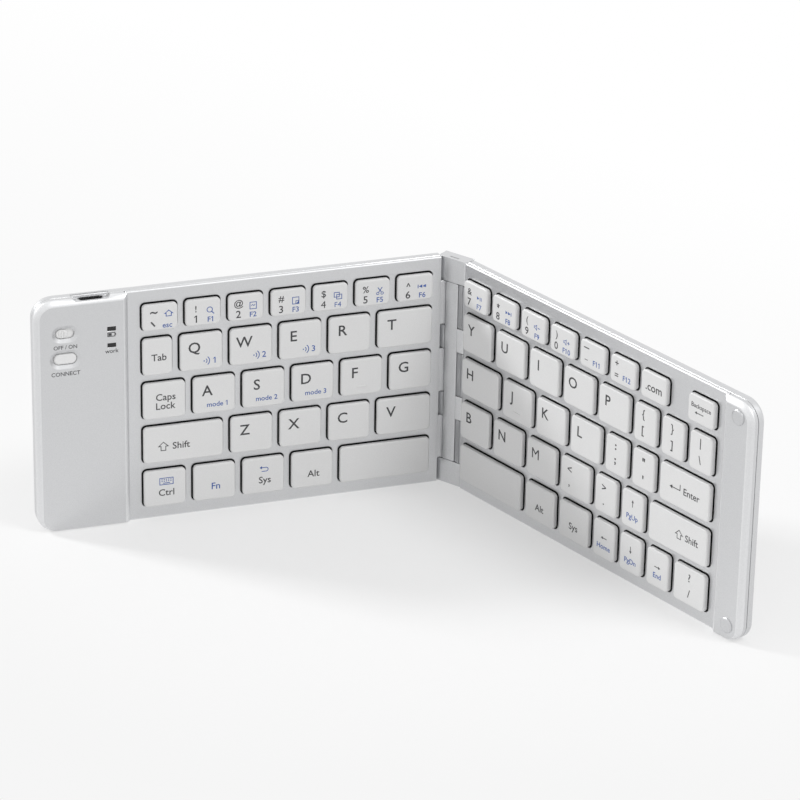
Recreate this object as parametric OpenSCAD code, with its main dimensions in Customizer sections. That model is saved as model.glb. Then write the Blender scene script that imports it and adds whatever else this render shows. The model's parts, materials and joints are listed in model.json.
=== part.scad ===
// Folding keyboard, standing half open on its long edge, keys facing the inside of the V.
// Two key panels hang on a narrow spine by two parallel hinge pins.
// World frame: the spine runs up +z from the floor, its keys side faces -y.
// Each half is drawn flat: x runs out from its hinge axis, z up its rows, -y is the keys side.

/* [Keys] */
// Distance between letter keys, centre to centre
key_pitch = 18; // [17:0.5:19]
// Distance between the rows of letter keys
row_pitch = 17; // [16:0.5:19]
// Distance between the keys of the number row
number_pitch = 15.4; // [14.5:0.1:15.8]
// Distance between the small arrow and punctuation keys
small_pitch = 13.65; // [13:0.05:15]
// Width that the tab key takes in its row
tab_pitch = 13.4; // [12.5:0.1:16]
// Width that each shift key takes in its row
shift_pitch = 31.6; // [28:0.1:34]
// Width that the enter key takes in its row
enter_pitch = 27.2; // [25:0.1:30]
// Height of the windows of the number row
number_window_h = 10.6; // [10:0.1:14]
// Width of the bars between two keys of a row
web_w = 2; // [1.6:0.1:2.6]
// Height of the bars between two rows
web_h = 2.35; // [2:0.05:3]
// Corner radius of the key windows
window_r = 1.8; // [1:0.1:2.4]
// Gap all round between a keycap and its window
key_gap = 0.4; // [0.3:0.05:0.6]
// How far the keycaps stand above the key frame
key_rise = 1.85; // [1.5:0.05:2.2]
// Travel of a key
key_travel = 1.1; // [0.8:0.05:1.2]
// Thickness of a keycap's top
cap_top_t = 0.9; // [0.7:0.05:1]
// Thickness of a keycap's side walls
cap_wall = 1; // [0.8:0.1:1.4]
// How far a keycap's top is drawn in at its edge
cap_bevel = 0.25; // [0.1:0.05:0.5]
// Side of the square stem under a keycap
stem_w = 4; // [3:0.5:5]

/* [Panels] */
// Length of the key field of the left half
left_field_w = 106.3; // [106:0.1:114]
// Length of the key field of the right half
right_field_w = 129; // [129:0.1:136]
// Distance from the left half's hinge edge to its first key window
left_inner_margin = 3.3; // [2:0.1:5]
// Distance from the right half's hinge edge to its first key window
right_inner_margin = 1.35; // [1.35:0.05:3]
// Distance from the key windows to the long edges
edge_margin = 4.7; // [4.5:0.1:7]
// Distance from the left key field to the raised end section
left_outer_margin = 5.3; // [4.5:0.1:7]
// Distance from the right key field to the raised end section
right_outer_margin = 4; // [3.5:0.1:6]
// Thickness of a key panel
panel_t = 4.8; // [4.8:0.1:5.4]
// Thickness of the key frame's plate
frame_t = 1; // [0.8:0.1:1.2]
// Depth of the line where the front and rear of a half meet
parting_depth = 1.4; // [1.2:0.1:1.6]
// Thickness of the rear shell's floor
floor_t = 0.9; // [0.7:0.05:1]
// Thickness of the side walls
wall_t = 1.2; // [1:0.1:1.3]

/* [End sections] */
// Length of the left end section
left_end_w = 32.6; // [32:0.1:40]
// Length of the right end section
right_end_w = 13.15; // [12:0.05:20]
// How far the end sections stand above the key frame
end_rise = 1.8; // [1.6:0.05:1.85]
// Width of the polished bevel on the end sections
bevel_w = 1.4; // [1:0.1:1.6]
// Corner radius of the outer ends
end_r = 7; // [5:0.5:10]
// How far the rear of the outer end is rounded away
tail_in = 2; // [1:0.1:2.4]
// Depth of that rounding
tail_depth = 1.6; // [1:0.1:1.8]
// Thickness of the end cover's face
cover_t = 0.9; // [0.8:0.05:1]
// Groove between the key frame and an end section
groove_w = 0.3; // [0.2:0.05:0.5]

/* [Hinge] */
// Fold of the left half at rest, counted from flat
left_fold = 55; // [0:1:90]
// Fold of the right half at rest, counted from flat
right_fold = 13.7; // [0:0.1:90]
// Depth of the hinge axes below the key frame's face
axis_depth = 2; // [1.9:0.05:2.2]
// Radius of the hinge pins
pin_r = 0.75; // [0.6:0.05:0.9]
// Radial clearance of a pin in the halves' knuckles
pin_run = 0.05; // [0.02:0.01:0.08]
// Radial clearance of a pin in the spine
pin_seat = 0.02; // [0.01:0.01:0.03]
// Height of each of the spine's four knuckles
spine_knuckle_h = 9.2; // [7:0.1:11]
// Gap between pieces that move past each other
body_gap = 0.3; // [0.3:0.05:0.35]
// Gap between the keys of the two halves when folded shut
closed_gap = 0.8; // [0.7:0.05:1.2]
// Thickness of the spine's front cover
spine_cover_t = 0.4; // [0.3:0.05:0.5]
// Width of the spine's front cover
spine_cover_w = 5.2; // [4:0.1:5.2]

/* [Controls] */
// Length of the power slider's slot
slider_slot_l = 6.8; // [6:0.1:9]
// Height of the power slider's slot
slider_slot_h = 3.8; // [3:0.1:4.5]
// Travel of the power slider
slider_travel = 2; // [1.5:0.1:2.5]
// Height of the slider's centre above the lower edge
slider_z = 75.5; // [74:0.1:77]
// Length of the pairing button's hole
button_hole_l = 8.6; // [7:0.1:10]
// Height of the pairing button's hole
button_hole_h = 4.4; // [3.5:0.1:5]
// Travel of the pairing button
button_travel = 0.4; // [0.2:0.05:0.6]
// Height of the button's centre above the lower edge
button_z = 66; // [64.5:0.1:67]
// Distance from the outer end to the centre of both controls
control_inset = 11; // [9.5:0.1:13]
// Width of the countersink round each control
sink_w = 1.4; // [1:0.1:1.8]
// Clearance round the slider and the button
control_gap = 0.3; // [0.2:0.05:0.4]
// Width of an indicator window
led_w = 2.9; // [2:0.1:4]
// Height of an indicator window
led_h = 1.45; // [1:0.05:2]

/* [Charging port] */
// Width of the port's metal shell
port_w = 8.9; // [8:0.1:9.5]
// Height of the port's metal shell
port_h = 3.2; // [2.8:0.1:3.4]
// Wall of the port's metal shell
port_wall = 0.3; // [0.2:0.05:0.4]
// Length of the port's metal shell
port_l = 7.3; // [6:0.1:9]
// Depth of the notch round the port
notch_depth = 1; // [0.6:0.1:1.2]
// Length of the notch round the port
notch_w = 12.6; // [11:0.1:15]
// Distance from the outer end to the middle of the port
port_inset = 20.8; // [19:0.1:22]

/* [Inside and underneath] */
// Thickness of the steel support plate
support_t = 0.3; // [0.2:0.05:0.4]
// Thickness of the printed membrane
membrane_t = 0.2; // [0.15:0.05:0.3]
// Thickness of the guide plate
guide_t = 0.4; // [0.3:0.05:0.5]
// Clearance round a stem in the guide plate
stem_gap = 0.1; // [0.05:0.01:0.15]
// Thickness of the circuit board
board_t = 0.8; // [0.6:0.1:1]
// Thickness of the battery
battery_t = 3.6; // [3:0.1:4]
// Height of the battery along the rows
battery_h = 50; // [40:1:52]
// Thickness of the rubber feet
foot_t = 0.6; // [0.4:0.1:1]
// Length of a rubber foot
foot_l = 14; // [8:1:20]
// Width of a rubber foot
foot_w = 4; // [3:0.5:6]
// Radius of a bumper
bumper_r = 2.8; // [2:0.1:3.5]
// Radius of a screw's head
screw_head_r = 1.5; // [1.3:0.05:1.6]
// Radius of a screw's shank
screw_r = 0.7; // [0.6:0.05:0.8]

/* [Hidden] */
$fn = 32;
eps = 0.01;
cut = 1; // how far a cut runs past the face it opens

NODES = [
  "left_rear_shell", "left_key_frame", "left_end_cover", "left_guide_plate",
  "left_membrane", "left_domes", "left_support_plate", "battery", "circuit_board",
  "charging_port", "indicator_windows", "power_slider", "connect_button",
  "left_screws", "left_feet", "left_magnets",
  "right_rear_shell", "right_key_frame", "right_end_cover", "right_guide_plate",
  "right_membrane", "right_domes", "right_support_plate", "right_screws",
  "right_feet", "right_bumpers", "right_magnets",
  "hinge_spine", "spine_cover", "spine_rear_cover", "left_hinge_pin",
  "right_hinge_pin", "flex_cable",
  "key_tab", "key_caps_lock", "key_left_shift", "key_left_ctrl", "key_fn",
  "key_left_system", "key_left_alt", "key_left_space", "keys_left_numbers",
  "keys_qwert", "keys_asdfg", "keys_zxcv",
  "keys_right_numbers", "key_backspace", "keys_yuiop", "keys_hjkl", "key_enter",
  "keys_bnm", "key_up_arrow", "key_right_shift", "key_right_space",
  "key_right_alt", "key_right_system", "key_left_arrow", "key_down_arrow",
  "key_right_arrow", "key_slash"
];

silver = "#c4c5c8";
cap_white = "#e9e9ea";
black = "#202124";
steel = "#a9abae";

// Sizes that follow from the driving ones
key_rows = 5;
letter_window_h = row_pitch - web_h;
panel_h = 2 * edge_margin + (key_rows - 1) * row_pitch + number_window_h;
fold_gap = 2 * key_rise + closed_gap;
axis_gap = fold_gap + 2 * axis_depth;
knuckle_r = axis_depth - 0.1;
hinge_edge = knuckle_r + body_gap; // x of a half's hinge edge
face_y = -axis_depth; // y of the key frame's face
rear_y = panel_t - axis_depth; // y of the rear face
left_outer = hinge_edge + left_inner_margin + left_field_w;
right_outer = hinge_edge + right_inner_margin + right_field_w;
left_cover_x = left_outer + left_outer_margin;
right_cover_x = right_outer + right_outer_margin;
left_end = left_cover_x + left_end_w;
right_end = right_cover_x + right_end_w; // meets the left end when shut
half_knuckles = 3; // on each half, with a spine knuckle before, between and after them
half_knuckle_h = (panel_h - (half_knuckles + 1) * spine_knuckle_h) / half_knuckles;
knuckle_step = spine_knuckle_h + half_knuckle_h;
bumper_h = fold_gap - 2 * end_rise - body_gap;

// Layers inside a half, as y of their front faces
near_gap = 0.1; // between pieces that almost touch
guide_y = face_y + frame_t + near_gap;
floor_y = rear_y - floor_t;
support_y = floor_y - support_t;
membrane_y = support_y - membrane_t;
lip_front_y = guide_y + guide_t + body_gap;
lip_rear_y = membrane_y - key_travel - near_gap; // a pressed key stops at the membrane
lip_w = stem_w + 1;
dome_h = membrane_y - lip_rear_y;
dome_r = 2.6;
dome_top_r = 1.5;
skirt_clear = 0.6; // between a pressed cap's side walls and the guide plate
skirt_y = guide_y - key_travel - skirt_clear; // lower edge of those walls
two_stem_w = 24; // keys wider than this have two stems

// Rows from the lowest up. Each key is [node, width taken in its row], listed from the
// outer end towards the hinge. Width 0 fills the row, and an empty name is a blank space.
blank_pitch = 7.7;
LEFT_ROWS = [
  [["key_left_ctrl", key_pitch], ["key_fn", key_pitch], ["key_left_system", key_pitch],
   ["key_left_alt", key_pitch], ["key_left_space", 0]],
  [["key_left_shift", shift_pitch], ["keys_zxcv", key_pitch], ["keys_zxcv", key_pitch],
   ["keys_zxcv", key_pitch], ["keys_zxcv", 0]],
  [["key_caps_lock", key_pitch], for (i = [1:4]) ["keys_asdfg", key_pitch], ["keys_asdfg", 0]],
  [["key_tab", tab_pitch], for (i = [1:4]) ["keys_qwert", key_pitch], ["keys_qwert", 0]],
  [for (i = [1:6]) ["keys_left_numbers", number_pitch], ["keys_left_numbers", 0]]
];
RIGHT_ROWS = [
  [["key_slash", key_pitch], ["key_right_arrow", small_pitch], ["key_down_arrow", small_pitch],
   ["key_left_arrow", small_pitch], ["key_right_system", key_pitch],
   ["key_right_alt", key_pitch], ["key_right_space", 0]],
  [["key_right_shift", shift_pitch], ["key_up_arrow", small_pitch], ["keys_bnm", small_pitch],
   for (i = [1:3]) ["keys_bnm", key_pitch], ["keys_bnm", 0]],
  [["key_enter", enter_pitch], for (i = [1:2]) ["keys_hjkl", small_pitch],
   for (i = [1:3]) ["keys_hjkl", key_pitch], ["keys_hjkl", 0]],
  [for (i = [1:3]) ["keys_yuiop", small_pitch], for (i = [1:4]) ["keys_yuiop", key_pitch],
   ["keys_yuiop", 0]],
  [["key_backspace", number_pitch], ["", blank_pitch],
   for (i = [1:6]) ["keys_right_numbers", number_pitch], ["keys_right_numbers", 0]]
];

function taken(row, i) = i == 0 ? 0 : taken(row, i - 1) + row[i - 1][1];
// The key next to the hinge fills its row. Where less than this is left, the others give way.
min_inner_w = 12.6;
function squeeze(row, room) = min(1, (room - min_inner_w) / taken(row, len(row)));
function row_z(r) = edge_margin + r * row_pitch;
function window_h(r) = r == key_rows - 1 ? number_window_h : letter_window_h;

// Windows of a half: [node, x0, x1, z0, z1]
function windows(rows, inner, outer) = [
  for (r = [0:key_rows - 1])
    for (i = [0:len(rows[r]) - 1])
      let (k = squeeze(rows[r], outer - inner), x1 = outer - k * taken(rows[r], i), w = k * rows[r][i][1])
        if (rows[r][i][0] != "")
          [rows[r][i][0], w == 0 ? inner : x1 - w + web_w, x1, row_z(r), row_z(r) + window_h(r)]
];
LEFT_KEYS = windows(LEFT_ROWS, hinge_edge + left_inner_margin, left_outer);
RIGHT_KEYS = windows(RIGHT_ROWS, hinge_edge + right_inner_margin, right_outer);

// Stems of one key, as [x, z]
function stems(k) =
  let (x = (k[1] + k[2]) / 2, z = (k[3] + k[4]) / 2, w = k[2] - k[1])
    w > two_stem_w ? [[x - w / 4, z], [x + w / 4, z]] : [[x, z]];
function all_stems(keys) = [for (k = keys) each stems(k)];

// Screws sit under the bars between rows, clear of the stems
screw_inner_inset = 8;
screw_outer_inset = 5;
function screw_points(x0, x1) = [
  for (x = [x0 + screw_inner_inset, x1 - screw_outer_inset], r = [1, key_rows - 1])
    [x, row_z(r) - web_h / 2]
];
LEFT_SCREWS = screw_points(hinge_edge + left_inner_margin, left_outer);
RIGHT_SCREWS = screw_points(hinge_edge + right_inner_margin, right_outer);

// Places in the end sections
slider_x = left_end - control_inset;
led_x = left_cover_x + 5.2;
led_zs = [slider_z + 0.2, button_z + 3.5];
port_x = left_end - port_inset;
port_y = face_y + 1; // middle of the port
port_z = panel_h - notch_depth; // mouth of the port
port_gap = 0.15; // round the port's shell
magnet = [3, 1.4, 10];
magnet_inset = 12; // from the long edges
function magnet_x(end) = end - wall_t - bevel_w / 2 - body_gap - magnet[0];
magnet_zs = [magnet_inset, panel_h - magnet_inset - magnet[2]];
room = 0.5; // round the battery and the board
cell_x0 = left_cover_x + wall_t + room;
cell_x1 = magnet_x(left_end) - room; // board and battery stop short of the magnets
battery_z = 4;
battery_r = 1.5;
board_y = port_y + port_h / 2; // the port is seated on the board
board_z0 = battery_z + battery_h + 3;
board_z1 = port_z - wall_t - bevel_w;
rail_w = 2; // of the rails that the board stands on

// ---- Helpers ----

module left_place()
  translate([-axis_gap / 2, 0, 0]) rotate([0, 0, left_fold]) mirror([1, 0, 0]) children();
module right_place()
  translate([axis_gap / 2, 0, 0]) rotate([0, 0, -right_fold]) children();

// Extrudes an outline drawn in x and z from y0 back to y1
module slab(y0, y1)
  translate([0, y1, 0]) rotate([90, 0, 0]) linear_extrude(y1 - y0) children();

// Rectangle with round corners, made of straight pieces and circles
module rounded(x0, x1, z0, z1, r) {
  translate([x0 + r, z0]) square([x1 - x0 - 2 * r, z1 - z0]);
  translate([x0, z0 + r]) square([x1 - x0, z1 - z0 - 2 * r]);
  for (x = [x0 + r, x1 - r], z = [z0 + r, z1 - r]) translate([x, z]) circle(r);
}

// Slot with round ends, centred on x and z
module slot(x, z, l, h) {
  translate([x - l / 2 + h / 2, z - h / 2]) square([l - h, h]);
  for (s = [-1, 1]) translate([x + s * (l - h) / 2, z]) circle(h / 2);
}

// Plan of a half from x0 to x1, square towards the hinge and round at the outer end
module half_plan(x0, x1, z0, z1, r)
  intersection() {
    rounded(x0 - 2 * r, x1, z0, z1, r);
    translate([x0, z0]) square([x1 - x0, z1 - z0]);
  }

// ---- Keys ----

module keycap(k) {
  x0 = k[1] + key_gap;
  x1 = k[2] - key_gap;
  z0 = k[3] + key_gap;
  z1 = k[4] - key_gap;
  r = window_r - key_gap;
  top_y = face_y - key_rise;
  b = cap_bevel;
  difference() {
    union() {
      slab(top_y, skirt_y) rounded(x0 + b, x1 - b, z0 + b, z1 - b, r);
      slab(top_y + b, skirt_y) rounded(x0, x1, z0, z1, r);
    }
    slab(top_y + cap_top_t, skirt_y + cut)
      translate([x0 + cap_wall, z0 + cap_wall])
        square([x1 - x0 - 2 * cap_wall, z1 - z0 - 2 * cap_wall]);
  }
  for (s = stems(k)) {
    slab(top_y + cap_top_t - eps, lip_rear_y) translate(s) square(stem_w, center = true);
    slab(lip_front_y, lip_rear_y) translate(s) square(lip_w, center = true);
  }
}

module key_node(name) {
  color(cap_white) {
    left_place() for (k = LEFT_KEYS) if (k[0] == name) keycap(k);
    right_place() for (k = RIGHT_KEYS) if (k[0] == name) keycap(k);
  }
}

// ---- Pieces that both halves have ----

// Silver plate with a window for every key and a skirt down to the parting line
module key_frame(keys, cover_x, screws) {
  x1 = cover_x - groove_w;
  difference() {
    slab(face_y, face_y + parting_depth) translate([hinge_edge, 0]) square([x1 - hinge_edge, panel_h]);
    slab(face_y + frame_t, face_y + parting_depth + cut)
      translate([hinge_edge + wall_t, wall_t])
        square([x1 - hinge_edge - 2 * wall_t, panel_h - 2 * wall_t]);
    for (k = keys) slab(face_y - cut, face_y + frame_t + cut) rounded(k[1], k[2], k[3], k[4], window_r);
  }
  difference() {
    for (s = screws) slab(face_y + frame_t - eps, floor_y) translate(s) circle(screw_head_r);
    for (s = screws) slab(face_y + frame_t + eps, floor_y + cut) translate(s) circle(screw_r);
  }
}

// Tray that closes the rear, with its knuckles round the hinge pin
edge_round = 0.5; // how far the rear's long edges are rounded away
module rear_shell(end, screws) {
  rim_y = face_y + parting_depth;
  difference() {
    hull() {
      slab(rim_y, rear_y - tail_depth) half_plan(hinge_edge, end, 0, panel_h, end_r);
      slab(rear_y - tail_depth, rear_y)
        half_plan(hinge_edge, end - tail_in, edge_round, panel_h - edge_round, end_r);
    }
    slab(rim_y - cut, floor_y)
      half_plan(hinge_edge + wall_t, end - wall_t - tail_in / 2, wall_t, panel_h - wall_t,
                end_r - wall_t);
    for (s = screws) {
      slab(floor_y - cut, rear_y + cut) translate(s) circle(screw_r + near_gap);
      slab(floor_y + floor_t / 2, rear_y + cut) translate(s) circle(screw_head_r + near_gap);
    }
  }
  for (i = [0:half_knuckles - 1]) half_knuckle(spine_knuckle_h + i * knuckle_step);
}

// One knuckle of a half and the leaf that carries it
module half_knuckle(z0) {
  h = half_knuckle_h - body_gap;
  translate([0, 0, z0 + body_gap / 2]) difference() {
    union() {
      cylinder(r = knuckle_r, h = h);
      cube([hinge_edge + wall_t / 2, rear_y, h]);
    }
    translate([0, 0, -cut]) cylinder(r = pin_r + pin_run, h = h + 2 * cut);
  }
}

// Raised end section with a bevel round its top and outer edges, open at the rear
module end_cover(x0, end) {
  top_y = face_y - end_rise;
  rim_y = face_y + parting_depth;
  difference() {
    hull() {
      slab(top_y, top_y + bevel_w)
        half_plan(x0, end - bevel_w, bevel_w / 4, panel_h - bevel_w, end_r - bevel_w);
      slab(top_y + bevel_w, rim_y) half_plan(x0, end, 0, panel_h, end_r);
    }
    slab(top_y + cover_t, rim_y + cut)
      half_plan(x0 + wall_t, end - wall_t - bevel_w / 2, wall_t, panel_h - wall_t - bevel_w / 2,
                end_r - wall_t);
  }
}

// Sheet that covers the key field inside the walls
module inner_sheet(y0, y1, cover_x, screws) {
  inset = wall_t + 2 * near_gap;
  difference() {
    slab(y0, y1)
      translate([hinge_edge + inset, inset])
        square([cover_x - groove_w - hinge_edge - 2 * inset, panel_h - 2 * inset]);
    for (s = screws) slab(y0 - cut, y1 + cut) translate(s) circle(screw_head_r + body_gap);
  }
}

module guide_plate(keys, cover_x, screws)
  difference() {
    inner_sheet(guide_y, guide_y + guide_t, cover_x, screws);
    for (s = all_stems(keys))
      slab(guide_y - cut, guide_y + guide_t + cut)
        translate(s) square(stem_w + 2 * stem_gap, center = true);
  }

module domes(keys)
  for (s = all_stems(keys))
    translate([s[0], membrane_y, s[1]]) rotate([90, 0, 0])
      cylinder(r1 = dome_r, r2 = dome_top_r, h = dome_h);

screw_sink = 0.05; // of the heads below the rear face
module screw_set(screws)
  for (s = screws) {
    slab(floor_y + floor_t / 2, rear_y - screw_sink) translate(s) circle(screw_head_r);
    slab(guide_y + 1, floor_y + floor_t / 2 + eps) translate(s) circle(screw_r);
  }

foot_inset = 5; // from the long edges
foot_end_inset = 8; // from the hinge edge and from the rear's outer end
module foot_set(end)
  for (x = [hinge_edge + foot_end_inset, end - tail_in - foot_end_inset - foot_l],
       z = [foot_inset, panel_h - foot_inset - foot_w])
    slab(rear_y, rear_y + foot_t) rounded(x, x + foot_l, z, z + foot_w, foot_w / 2 - eps);

module magnet_set(end)
  for (z = magnet_zs) translate([magnet_x(end), face_y - end_rise + cover_t, z]) cube(magnet);

// ---- Left half ----

// Room for the charging port: a notch in the edge and a hole for its shell
module port_cut() {
  notch_y = face_y - end_rise - cut;
  translate([port_x - notch_w / 2, notch_y, port_z])
    cube([notch_w, port_y + port_h / 2 + room - notch_y, notch_depth + cut]);
  translate([0, 0, board_z1])
    linear_extrude(panel_h - board_z1)
      slot(port_x, port_y, port_w + 2 * port_gap, port_h + 2 * port_gap);
}

// Oval countersink down to the slot or hole of a control
module control_cut(z, l, h) {
  top_y = face_y - end_rise;
  hull() {
    slab(top_y - eps, top_y) slot(slider_x, z, l + 2 * sink_w, h + 2 * sink_w);
    slab(top_y + cover_t / 2, top_y + cover_t / 2 + eps) slot(slider_x, z, l, h);
  }
  slab(top_y - cut, top_y + cover_t + cut) slot(slider_x, z, l, h);
}

led_gap = 0.05; // round an indicator window
led_t = 1.5; // of an indicator window

module left_rear_shell()
  color(silver) left_place() difference() {
    rear_shell(left_end, LEFT_SCREWS);
    port_cut();
  }

module left_key_frame() color(silver) left_place() key_frame(LEFT_KEYS, left_cover_x, LEFT_SCREWS);

module led_set(gap, y0, y1)
  for (z = led_zs)
    slab(y0, y1) translate([led_x, z]) square([led_w + 2 * gap, led_h + 2 * gap], center = true);

module left_end_cover()
  color(silver) left_place() difference() {
    end_cover(left_cover_x, left_end);
    port_cut();
    control_cut(slider_z, slider_slot_l, slider_slot_h);
    control_cut(button_z, button_hole_l, button_hole_h);
    led_set(led_gap, face_y - end_rise - cut, face_y);
  }

module indicator_windows()
  color(black) left_place() led_set(0, face_y - end_rise, face_y - end_rise + led_t);

module left_guide_plate() color(black) left_place() guide_plate(LEFT_KEYS, left_cover_x, LEFT_SCREWS);
module left_membrane()
  color("#8fa5b5") left_place() inner_sheet(membrane_y, support_y, left_cover_x, LEFT_SCREWS);
module left_support_plate()
  color(steel) left_place() inner_sheet(support_y, floor_y, left_cover_x, LEFT_SCREWS);
module left_domes() color("#dfe3e6") left_place() domes(LEFT_KEYS);
module left_screws() color(steel) left_place() screw_set(LEFT_SCREWS);
module left_feet() color(black) left_place() foot_set(left_end);
module left_magnets() color(steel) left_place() magnet_set(left_end);

// Thin pouch cell on the floor of the end section
module battery()
  color("#b8bcc0") left_place() slab(floor_y - battery_t, floor_y)
    rounded(cell_x0, cell_x1, battery_z, battery_z + battery_h, battery_r);

// Box on the board's front, centred on x and z, h high
module on_board(x, z, w, d, h) translate([x - w / 2, board_y - h, z - d / 2]) cube([w, h + eps, d]);

// Board with its switch bodies and chips, standing on two rails of the floor
module circuit_board()
  color("#2f6b48") left_place() {
    board_l = board_z1 - board_z0;
    translate([cell_x0, board_y, board_z0]) cube([cell_x1 - cell_x0, board_t, board_l]);
    for (x = [cell_x0, cell_x1 - rail_w]) translate([x, board_y + board_t - eps, board_z0])
      cube([rail_w, floor_y - board_y - board_t + eps, board_l]);
    on_board(slider_x, slider_z, slider_slot_l + 2, slider_slot_h, board_y - slider_tail_y - near_gap);
    on_board(slider_x, button_z, 5, 5, board_y - button_tail_y - button_travel - near_gap);
    on_board(cell_x0 + 5, board_z0 + 6, 6, 6, 0.9); // radio chip
    for (z = led_zs) on_board(led_x, z, 1.6, 1, 0.6);
  }

// Metal shell round a tongue, closed at its inner end
tongue_w = 6.6;
tongue_t = 0.7;
module charging_port()
  color(steel) left_place() translate([0, 0, port_z - port_l]) {
    difference() {
      linear_extrude(port_l) slot(port_x, port_y, port_w, port_h);
      translate([0, 0, wall_t])
        linear_extrude(port_l) slot(port_x, port_y, port_w - 2 * port_wall, port_h - 2 * port_wall);
    }
    translate([port_x - tongue_w / 2, port_y - tongue_t / 2, wall_t - eps])
      cube([tongue_w, tongue_t, port_l - 2 * wall_t]);
  }

// Both controls are held by a flange behind the cover
flange_t = 0.5;
under_cover_y = face_y - end_rise + cover_t + control_gap;
control_sink = 0.25; // of the controls' faces below the cover's face

// The slider rests at the outer end of its slot and moves towards the hinge
slider_l = slider_slot_l - slider_travel - 2 * control_gap;
slider_rest_x = slider_x + slider_travel / 2;
slider_tail_y = under_cover_y + flange_t;
module power_slider()
  color("white") left_place() {
    slab(face_y - end_rise + control_sink, slider_tail_y - eps)
      slot(slider_rest_x, slider_z, slider_l, slider_slot_h - 2 * control_gap);
    slab(under_cover_y, slider_tail_y)
      slot(slider_rest_x, slider_z, slider_slot_l + slider_travel, slider_slot_h + 1);
  }

button_tail_y = under_cover_y + flange_t;
module connect_button()
  color("white") left_place() {
    slab(face_y - end_rise + control_sink, button_tail_y - eps)
      slot(slider_x, button_z, button_hole_l - 2 * control_gap, button_hole_h - 2 * control_gap);
    slab(under_cover_y, button_tail_y) slot(slider_x, button_z, button_hole_l + 1, button_hole_h + 1);
  }

// ---- Right half ----

module right_rear_shell() color(silver) right_place() rear_shell(right_end, RIGHT_SCREWS);
module right_key_frame() color(silver) right_place() key_frame(RIGHT_KEYS, right_cover_x, RIGHT_SCREWS);
module right_end_cover() color(silver) right_place() end_cover(right_cover_x, right_end);
module right_guide_plate() color(black) right_place() guide_plate(RIGHT_KEYS, right_cover_x, RIGHT_SCREWS);
module right_membrane()
  color("#8fa5b5") right_place() inner_sheet(membrane_y, support_y, right_cover_x, RIGHT_SCREWS);
module right_support_plate()
  color(steel) right_place() inner_sheet(support_y, floor_y, right_cover_x, RIGHT_SCREWS);
module right_domes() color("#dfe3e6") right_place() domes(RIGHT_KEYS);
module right_screws() color(steel) right_place() screw_set(RIGHT_SCREWS);
module right_feet() color(black) right_place() foot_set(right_end);
module right_magnets() color(steel) right_place() magnet_set(right_end);

// Two low bumpers keep the end sections apart when the keyboard is shut
bumper_inset = 5.5; // from the long edges
bumper_end_inset = 6.5; // from the outer end
module right_bumpers()
  color("#d2d3d5") right_place()
    for (z = [bumper_inset, panel_h - bumper_inset])
      slab(face_y - end_rise - bumper_h, face_y - end_rise)
        translate([right_end - bumper_end_inset, z]) circle(bumper_r);

// ---- Spine ----

spine_rear_t = 0.6;
spine_body_y = rear_y - spine_rear_t; // rear of the spine's body
spine_half = axis_gap / 2 + knuckle_r;
web_half = axis_gap / 2 - knuckle_r - body_gap;
rear_half = axis_gap / 2 - body_gap;
spine_mid_h = panel_h - 2 * spine_knuckle_h; // between the end knuckles
pin_end = 1; // how far the pins' bores stop short of the upper end
pin_z = 0.3; // lower end of the pins
cable_w = 2.4;
cable_t = 0.2;
channel_w = cable_w + 0.6;
channel_depth = 0.6;

// Full section of the spine at one of its knuckles, round in front and square behind
module spine_block(z0)
  translate([0, 0, z0]) {
    for (s = [-1, 1]) translate([s * axis_gap / 2, 0, 0]) cylinder(r = knuckle_r, h = spine_knuckle_h);
    translate([-axis_gap / 2, -knuckle_r, 0]) cube([axis_gap, 2 * knuckle_r, spine_knuckle_h]);
    translate([-spine_half, 0, 0]) cube([2 * spine_half, spine_body_y, spine_knuckle_h]);
  }

module hinge_spine()
  color(silver) difference() {
    union() {
      for (i = [0:half_knuckles]) spine_block(i * knuckle_step);
      translate([-web_half, -knuckle_r + spine_cover_t, 0])
        cube([2 * web_half, knuckle_r - spine_cover_t + spine_body_y, panel_h]);
    }
    // seat of the front cover
    translate([-spine_cover_w / 2 - near_gap, -knuckle_r - cut, spine_knuckle_h])
      cube([spine_cover_w + 2 * near_gap, cut + spine_cover_t, spine_mid_h]);
    // channel of the ribbon cable
    translate([-channel_w / 2, -knuckle_r, spine_knuckle_h + 1])
      cube([channel_w, spine_cover_t + channel_depth, spine_mid_h - 2]);
    for (s = [-1, 1]) translate([s * axis_gap / 2, 0, -cut])
      cylinder(r = pin_r + pin_seat, h = panel_h - pin_end + cut);
  }

module spine_cover()
  color(silver) translate([-spine_cover_w / 2, -knuckle_r, spine_knuckle_h + 2 * near_gap])
    cube([spine_cover_w, spine_cover_t, spine_mid_h - 4 * near_gap]);

// Wide behind the spine's knuckles and narrow between them, where the halves' knuckles turn
module spine_rear_cover()
  color(silver) {
    translate([-rear_half, spine_body_y, 0]) cube([2 * rear_half, spine_rear_t, panel_h]);
    for (i = [0:half_knuckles])
      translate([-spine_half, spine_body_y, i * knuckle_step])
        cube([2 * spine_half, spine_rear_t, spine_knuckle_h]);
  }

module hinge_pin()
  translate([0, 0, pin_z]) cylinder(r = pin_r, h = panel_h - pin_end - 2 * near_gap - pin_z);
module left_hinge_pin() color(steel) translate([-axis_gap / 2, 0, 0]) hinge_pin();
module right_hinge_pin() color(steel) translate([axis_gap / 2, 0, 0]) hinge_pin();

module flex_cable()
  color("#c98a2b")
    translate([-cable_w / 2, -knuckle_r + spine_cover_t + channel_depth - cable_t, spine_knuckle_h + 2])
      cube([cable_w, cable_t, spine_mid_h - 4]);

// ---- Nodes ----

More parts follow.
